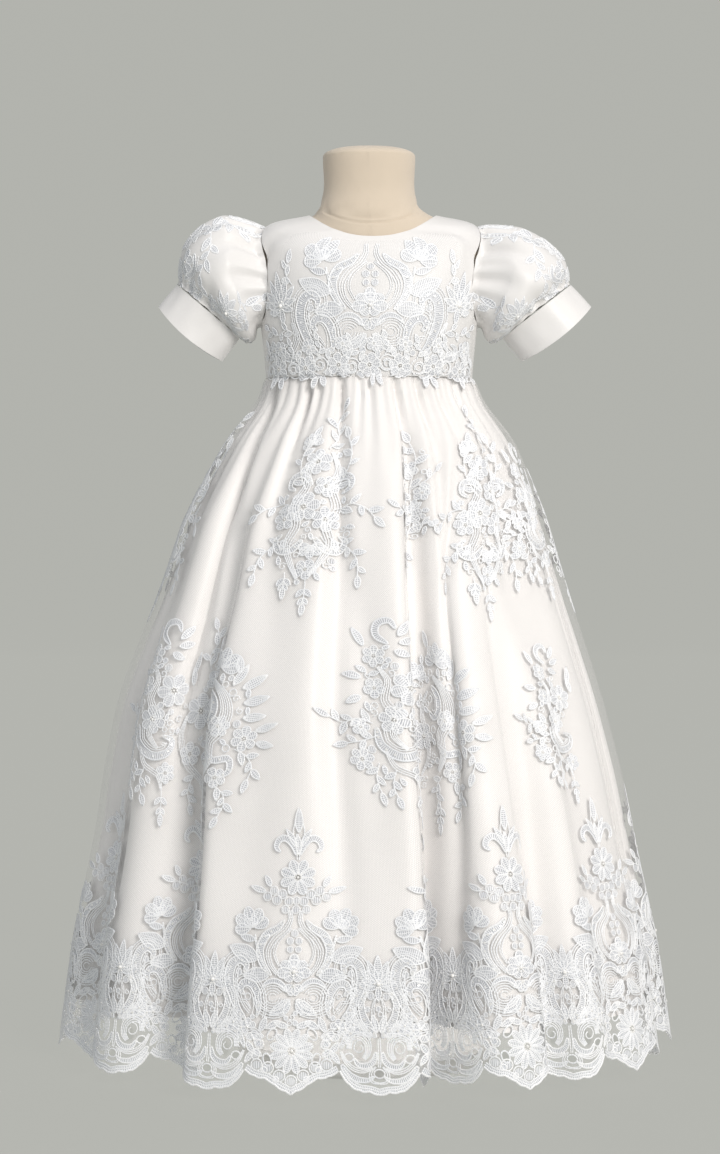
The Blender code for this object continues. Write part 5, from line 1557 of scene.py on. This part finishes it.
class GOWN_OT_bodice_lace(PieceOperator, bpy.types.Operator):
    """Lace on the chest: a net ground, a lyre crest with roses and leaves, and lilies at the sides"""

    bl_idname = "gown.bodice_lace"
    bl_label = "Bodice lace"

    def build(self, scene):
        share = np.linspace(-1, 1, 89)
        top = np.interp(np.abs(share), (0, 0.42, 0.55, 0.68, 0.8, 0.92, 1), (0.945, 0.94, 0.87, 0.8, 0.7, 0.56, 0.5))
        v = np.linspace(0, 1, 40)[:, None] * (top - 0.006 * np.abs(np.sin(math.pi * 22 * share)))
        angle = share * (math.pi / 2 - bite(v) - 0.012)
        net = make_piece("bodice_net", bodice_point(angle, v, NET_OUT).reshape(-1, 3), grid_quads(*v.shape),
                         bodice_uv(angle, v).reshape(-1, 2), ["lace_net"], ("bodice_lace",))
        chest = Lace().add(crest(), 0, -48, size=1.1).both(chest_side())
        work = lay("bodice_lace_work", [(lace_mesh(chest), None)], chest_surface)


def chest_side():
    """Beside the crest: a lily under the armhole, sprays to the side seam and cords down to the waist."""
    side = Lace().add(lily(), 81, 60, -8, 1.1)
    side.draw(spray, ([(66, 34), (76, 40), (88, 36), (100, 42)], 5),
              ([(84, 52), (92, 62), (102, 64)], 3))
    strands(side, [(70, 46), (66, 34), (72, 22), (84, 18)], (-3, -1, 1, 3), 0.95, 0.3)
    scroll(side, [(62, 22), (70, 14), (80, 16), (82, 24), (76, 27)], 4.6, 0.5, cords=(4.2,))
    return spray(daisy(side, 94, 22, 9, 6, 20), [(68, 76), (74, 84), (72, 92)], 3, 8.5, 4.2)


class GOWN_OT_waist_flowers(PieceOperator, bpy.types.Operator):
    """Star flowers with beaded hearts between curled rosettes, along the waist seam"""

    bl_idname = "gown.waist_flowers"
    bl_label = "Waist flowers"

    def build(self, scene):
        row = Lace()
        for k in range(-7, 8):
            x = k * 14.6 + 1.6 * math.sin(2.3 * k)
            z = 8.6 + 1.4 * math.sin(k * 1.7) - 5 * (x / 100) ** 2
            if k % 2:
                for radius, start in ((7.6, 20), (5.4, 150), (3.2, 280)):
                    start += 30 * k
                    row.cords.append((curve(spiral(x, z, radius, radius * 0.72, start, start + 330)), 1.1))
                spray(row, [(x - 2, z + 7), (x + 1, z + 15), (x - 1, z + 21)], 2, 7, 3.6)
            else:
                row.draw(daisy, (x, z, 10.4 + math.sin(3.1 * k), 6, 12 + 17 * k, 1.06), (x + 4, z + 18, 6.8, 5, 40 * k))
            leaf(row, x + 7.4, z + 5, 90 + 24 * math.sin(k), 9, 4.2)
            row.draw(ring, (x + 7.2, z - 6.5, 3), (x - 6, z + 12.5, 2.6))
        row.draw(leaf, *((*spot, 11, 5) for spot in (
            (-92, -1, 255), (-86, -2, 285), (-52, -1, 262), (-47, 0, 292), (4, 1, 268), (9, 1, 296), (55, 0, 258),
            (60, -1, 286), (90, -1, 270))))
        lay("waist_flowers", [(lace_mesh(row), None)], waist_surface, ("waist_trim",))


class GOWN_OT_sleeves(PieceOperator, bpy.types.Operator):
    """Gathered puffs and their cuff bands, each a closed wall of two skins"""

    bl_idname = "gown.sleeves"
    bl_label = "Sleeves"

    def build(self, scene):
        for which in SIDE:
            for kind, node, grid, size, flat, held, under in (
                    ("puff", "sleeve", sleeve_grid(which, *PUFF_GRID), (330, 110), (0.27, 0.115), "gathered",
                     "bodice_satin_front"),
                    ("cuff", "cuff", cuff_grid(which, 96, 10), (185, 26), (0.19, 0.027), "stretched",
                     f"sleeve_puff_{which}")):
                points, normals = grid
                rows, columns = points.shape[:2]
                uv = joined(np.linspace(0, size[0], columns), np.linspace(0, size[1], rows)[:, None])
                piece = satin_wall(f"sleeve_{kind}_{which}", points, points - scene.gown_cut.satin_thick * normals, uv,
                                   f"{node}_{which}", True, sharp=60)


def crown_spray():
    """Over the sleeve's crown, from the armhole to the cuff: roses and daisies between leafy sprays."""
    lace = rose(Lace(), 4, 8, 11, 60).draw(daisy, (-8, -8, 10, 6, 15, 1.04), (12, -22, 9, 6, 40, 1.04))
    rose(lace, -4, -30, 9, 250)
    lace.draw(spray, ([(6, 16), (14, 24), (12, 34)], 4), ([(-4, 16), (-10, 24), (-8, 34)], 4),
              ([(14, 4), (24, 0), (30, -8), (34, -18)], 5, 9.5, 4.6), ([(-16, 2), (-26, -4), (-28, -16)], 4),
              ([(16, -30), (26, -34), (32, -42)], 4), ([(-14, -28), (-24, -32), (-30, -40)], 4))
    strands(lace, [(10, 2), (2, -8), (4, -20), (-2, -38)], (-2.4, -0.8, 0.8, 2.4), 0.95, 0.3)
    return scroll(lace, [(18, -12), (24, -20), (20, -28), (12, -34)], 4.4, 0.5, cords=(4,))


def inner_spray():
    """Above the cuff seam on the sleeve's lower front: a lily and roses that climb to the armhole."""
    lace = rose(Lace().add(lily(), 0, -18, 10, 0.85), 14, -30, 9.5, 300)
    lace.draw(daisy, (-12, -32, 9, 6, 20, 1.04), (12, 2, 8.5, 6, 5, 1.04))
    lace.draw(spray, ([(-18, -32), (-28, -34), (-36, -38)], 3),
              ([(6, -4), (0, 8), (4, 20), (0, 32)], 6), ([(20, -22), (30, -18), (36, -6)], 4))
    return strands(lace, [(-8, -36), (2, -28), (14, -20), (18, -4)], (-2, 0, 2), 0.95, 0.3)


class GOWN_OT_sleeve_lace(PieceOperator, bpy.types.Operator):
    """Lace sprays over the crown and the lower front of each sleeve"""

    bl_idname = "gown.sleeve_lace"
    bl_label = "Sleeve lace"

    def build(self, scene):
        work = Lace().add(crown_spray(), 10, size=1.15).add(crown_spray(), -16, size=1.1, mirror=True)
        work.add(inner_spray(), 88, 4, size=1.2).add(inner_spray(), -62, size=1.1, mirror=True)
        mesh = lace_mesh(work)
        for which, side in SIDE.items():
            grid = sleeve_grid(which, *PUFF_GRID)

            def on_sleeve(_, x, z, out):
                """Lays flat lace on the puff, x round it and z towards the armhole."""
                share = 0.45 - z / 0.085
                return on_grid(*grid, x / 0.29 + 0.02, 1 - share if side < 0 else share, out)

            lay(f"sleeve_lace_{which}", [(mesh, None)], on_sleeve)


class GOWN_OT_underskirt(PieceOperator, bpy.types.Operator):
    """Satin skirt panels on the skirt's surface, a wall inside the tulle"""

    bl_idname = "gown.underskirt"
    bl_label = "Underskirt"

    def build(self, scene):
        for name, first, last in PANELS:
            counts = half_seam(np.linspace(first, last, int(round((last - first) * SATIN_COLUMNS_EACH)) + 1))
            v = (1 - LINING_HEM / SKIRT_DROP) * np.linspace(1, 0, SATIN_ROWS)[:, None] ** 1.1
            count, height = np.broadcast_arrays(counts, v)
            inset = lining_inset(count, height)
            piece = satin_wall(f"skirt_satin_{name}", skirt_point(count, height, -inset),
                               skirt_point(count, height, -inset - scene.gown_cut.satin_thick),
                               skirt_uv(count, height), f"underskirt_{name}", finish_name="skirt_satin")


def skirt_uv(count, v):
    """Cloth coordinates in millimetres on the skirt: round its hem and down it."""
    return joined(count * REPEAT / MM, -v * SKIRT_DROP / MM)


class GOWN_OT_overskirt(PieceOperator, bpy.types.Operator):
    """Tulle skirt panels with their scalloped border, its openings cut through"""

    bl_idname = "gown.overskirt"
    bl_label = "Overskirt"

    def build(self, scene):
        for name, first, last in PANELS:
            flat, faces = tulle_panel(first, last)
            points = skirt_point(half_seam(flat[:, 0]), flat[:, 1])
            make_piece(f"skirt_tulle_{name}", points, faces, skirt_uv(*flat.T), ["tulle"],
                                                (f"overskirt_{name}",))


class GOWN_OT_hem_lace(PieceOperator, bpy.types.Operator):
    """The border's corded lace: plumes over the daisy scallops, shells between them, and the edging"""

    bl_idname = "gown.hem_lace"
    bl_label = "Hem lace"

    def build(self, scene):
        kinds = {True: lace_mesh(plume().add(edging(True))), False: lace_mesh(shell().add(edging(False)), 3)}
        for name, first, last in PANELS:
            placed = [(mesh, (start + share / 2, 0)) for kind, mesh in kinds.items()
                      for start, share, is_daisy in scallops(first, last) if is_daisy == kind]
            lay(f"hem_lace_{name}", placed, skirt_surface)


# Bouquets by panel: large, half, tall and small ones, each by column and height of its middle
BOUQUETS = {
    "front": (((-1, 0.3), (1.2, 0.305)), ((2.8, 0.3), (3.1, 0.47)),
              ((-0.1, 0.48), (2.25, 0.475), (-2.45, 0.47)), ((1.15, 0.49),)),
    "back": (((5.35, 0.3), (7.5, 0.305), (9.3, 0.3)), (), ((5.1, 0.48), (7.7, 0.475)),
             ((3.9, 0.455), (6.4, 0.455), (9, 0.455))),
}


class GOWN_OT_bouquets(PieceOperator, bpy.types.Operator):
    """Bouquets and sprigs scattered over the tulle"""

    bl_idname = "gown.bouquets"
    bl_label = "Bouquets"

    def build(self, scene):
        half = Lace().add(bouquet_left(), 42, size=0.78)
        close_gaps(half, [(-20, -30), (-20, 20), (-6, 50), (10, 40), (12, -20), (0, -40)])
        kinds = [lace_mesh(bouquet()), lace_mesh(half, 3), lace_mesh(tall_bouquet(), 7), lace_mesh(sprig(), 11)]
        for name, first, last in PANELS:
            placed = [(mesh, (column, height - HEM_Z)) for mesh, spots in zip(kinds, BOUQUETS[name])
                      for column, height in spots]
            flowers = lay(f"bouquets_{name}", placed, skirt_surface)


class GOWN_OT_fastenings(PieceOperator, bpy.types.Operator):
    """Pearl buttons down the centre back, each with a thread loop"""

    bl_idname = "gown.fastenings"
    bl_label = "Fastenings"

    def build(self, scene):
        parts = []
        across = np.array([1, 0, 0])
        for number, v in enumerate(BUTTON_HEIGHTS[:scene.gown_cut.back_buttons], 1):
            middle = np.mean(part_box(f"button_{number}"), axis=0)
            out = facing(body_point, np.array(math.pi), np.array(v), 1)
            up = np.cross(out, across)

            def circle(turn, radius, lift):
                """Points at angles round the button's middle, lifted off the cloth."""
                return middle + lift * out + radius * (np.cos(turn)[:, None] * across + np.sin(turn)[:, None] * up)

            button = np.stack([circle(around(24), BUTTON_RADIUS * size, lift) for size, lift in BUTTON_PROFILE])
            loop = circle(np.radians(np.linspace(-160, 160, 22)), LOOP_RADIUS, -LOOP_DROP)
            along = np.gradient(loop, axis=0)
            side = np.cross(along / np.linalg.norm(along, axis=1, keepdims=True), out)
            tube = np.stack([loop + LOOP_THREAD * (math.cos(a) * side + math.sin(a) * out) for a in around(6)], axis=1)
            twist = joined(np.arange(22)[:, None] * 1.5, np.arange(6) / 6)
            parts += [(button, capped(*button.shape[:2]), np.zeros((*button.shape[:2], 2)), 0),
                      (tube, capped(*tube.shape[:2], True), twist, 1)]
        points, part_faces, uv, kinds = zip(*parts)
        starts = np.cumsum([0, *(part.size // 3 for part in points)])
        faces = [[i + start for i in face] for part, start in zip(part_faces, starts) for face in part]
        make_piece("back_buttons", np.concatenate([part.reshape(-1, 3) for part in points]), faces,
                   np.concatenate([part.reshape(-1, 2) for part in uv]), ["pearl", "lace_cord"],
                   [f"button_{i}" for i in range(1, 6)], np.repeat(kinds, [len(part) for part in part_faces]))


class GOWN_OT_studio(PieceOperator, bpy.types.Operator):
    """A curved paper backdrop, a warm key light, a cool fill, a top light and the camera"""

    bl_idname = "gown.studio"
    bl_label = "Studio"

    def build(self, scene):
        settings = scene.gown_studio

        def put(name, data, place, turn=(0, 0, 0)):
            """Links a light, camera or mesh at a place."""
            thing = bpy.data.objects.new(name, data)
            thing.location, thing.rotation_euler = place, turn
            scene.collection.objects.link(thing)
            return thing

        turn = np.linspace(0, math.pi / 2, 24)
        depth = np.array([-7, -3, 0, *(5.4 + 1.6 * np.sin(turn)), 7])[:, None]
        height = np.array([0, 0, 0, *(1.6 * (1 - np.cos(turn))), 5])[:, None]
        points = joined(np.linspace(-7, 7, 15), depth, height)
        mesh = bpy.data.meshes.new("studio_paper")
        mesh.from_pydata(points.reshape(-1, 3), [], grid_quads(*points.shape[:2]).tolist())
        mesh.materials.append(finish("paper"))
        mesh.shade_smooth()
        put("studio_paper", mesh, (0, 0, 0))
        for name, place, target, size, watts, colour in (
                ("key", (1.75, -3.05, 1.8), (0.02, 0, 0.36), 1.8, settings.key, (1, 0.965, 0.93)),
                ("fill", (-2.4, -1.9, 1), (0, 0, 0.35), 2, settings.fill, (0.9, 0.95, 1)),
                ("under", (0, 0, 0.34), (0, 0, 0), 0.12, settings.under, (1, 1, 1)),
                ("top", (0.1, -0.4, 2.6), (0, 0, 0.3), 1.6, settings.top, (1, 0.99, 0.97))):
            lamp = bpy.data.lights.new(name, "AREA")
            lamp.shape, lamp.size, lamp.energy, lamp.color = "DISK", size, watts, colour
            put(name, lamp, place, (Vector(target) - Vector(place)).to_track_quat("-Z", "Y").to_euler())
        scene.world = bpy.data.worlds.new("studio_air")
        scene.world.use_nodes = True
        air = scene.world.node_tree.nodes["Background"]
        air.inputs["Color"].default_value = (0.96, 0.98, 1, 1)
        air.inputs["Strength"].default_value = settings.air
        scene.view_settings.view_transform = "Standard"
        camera = bpy.data.cameras.new("camera")
        camera.lens, camera.sensor_width = settings.lens, 36
        scene.camera = put("camera", camera, (-0.007, -2.4, 0.507), (math.radians(90 - 2.04), 0, 0))


OPERATORS = (GOWN_OT_form, GOWN_OT_bodice, GOWN_OT_bodice_lace, GOWN_OT_waist_flowers, GOWN_OT_sleeves,
             GOWN_OT_sleeve_lace, GOWN_OT_underskirt, GOWN_OT_overskirt, GOWN_OT_hem_lace, GOWN_OT_bouquets,
             GOWN_OT_fastenings, GOWN_OT_studio)
SETTINGS = {"gown_looks": GownLooks, "gown_cut": GownCut, "gown_studio": GownStudio}


class GOWN_PT_panel(bpy.types.Panel):
    """The gown's pieces in the order they are made"""

    bl_label = "Christening gown"
    bl_idname = "GOWN_PT_panel"
    bl_space_type = "VIEW_3D"
    bl_region_type = "UI"
    bl_category = "Gown"

    def draw(self, context):
        for name in SETTINGS:
            group = getattr(context.scene, name)
            box = self.layout.box()
            for setting in group.__annotations__:
                box.prop(group, setting)
        for operator in OPERATORS:
            self.layout.operator(operator.bl_idname)


CLASSES = (*SETTINGS.values(), *OPERATORS, GOWN_PT_panel)


def register():
    for made in CLASSES:
        bpy.utils.register_class(made)
    for name, group in SETTINGS.items():
        setattr(bpy.types.Scene, name, PointerProperty(type=group))


def unregister():
    for name in SETTINGS:
        delattr(bpy.types.Scene, name)
    for made in reversed(CLASSES):
        bpy.utils.unregister_class(made)


def main():
    register()
    for operator in OPERATORS:
        group, name = operator.bl_idname.split(".")
        getattr(getattr(bpy.ops, group), name)()


if __name__ == "__main__":
    main()
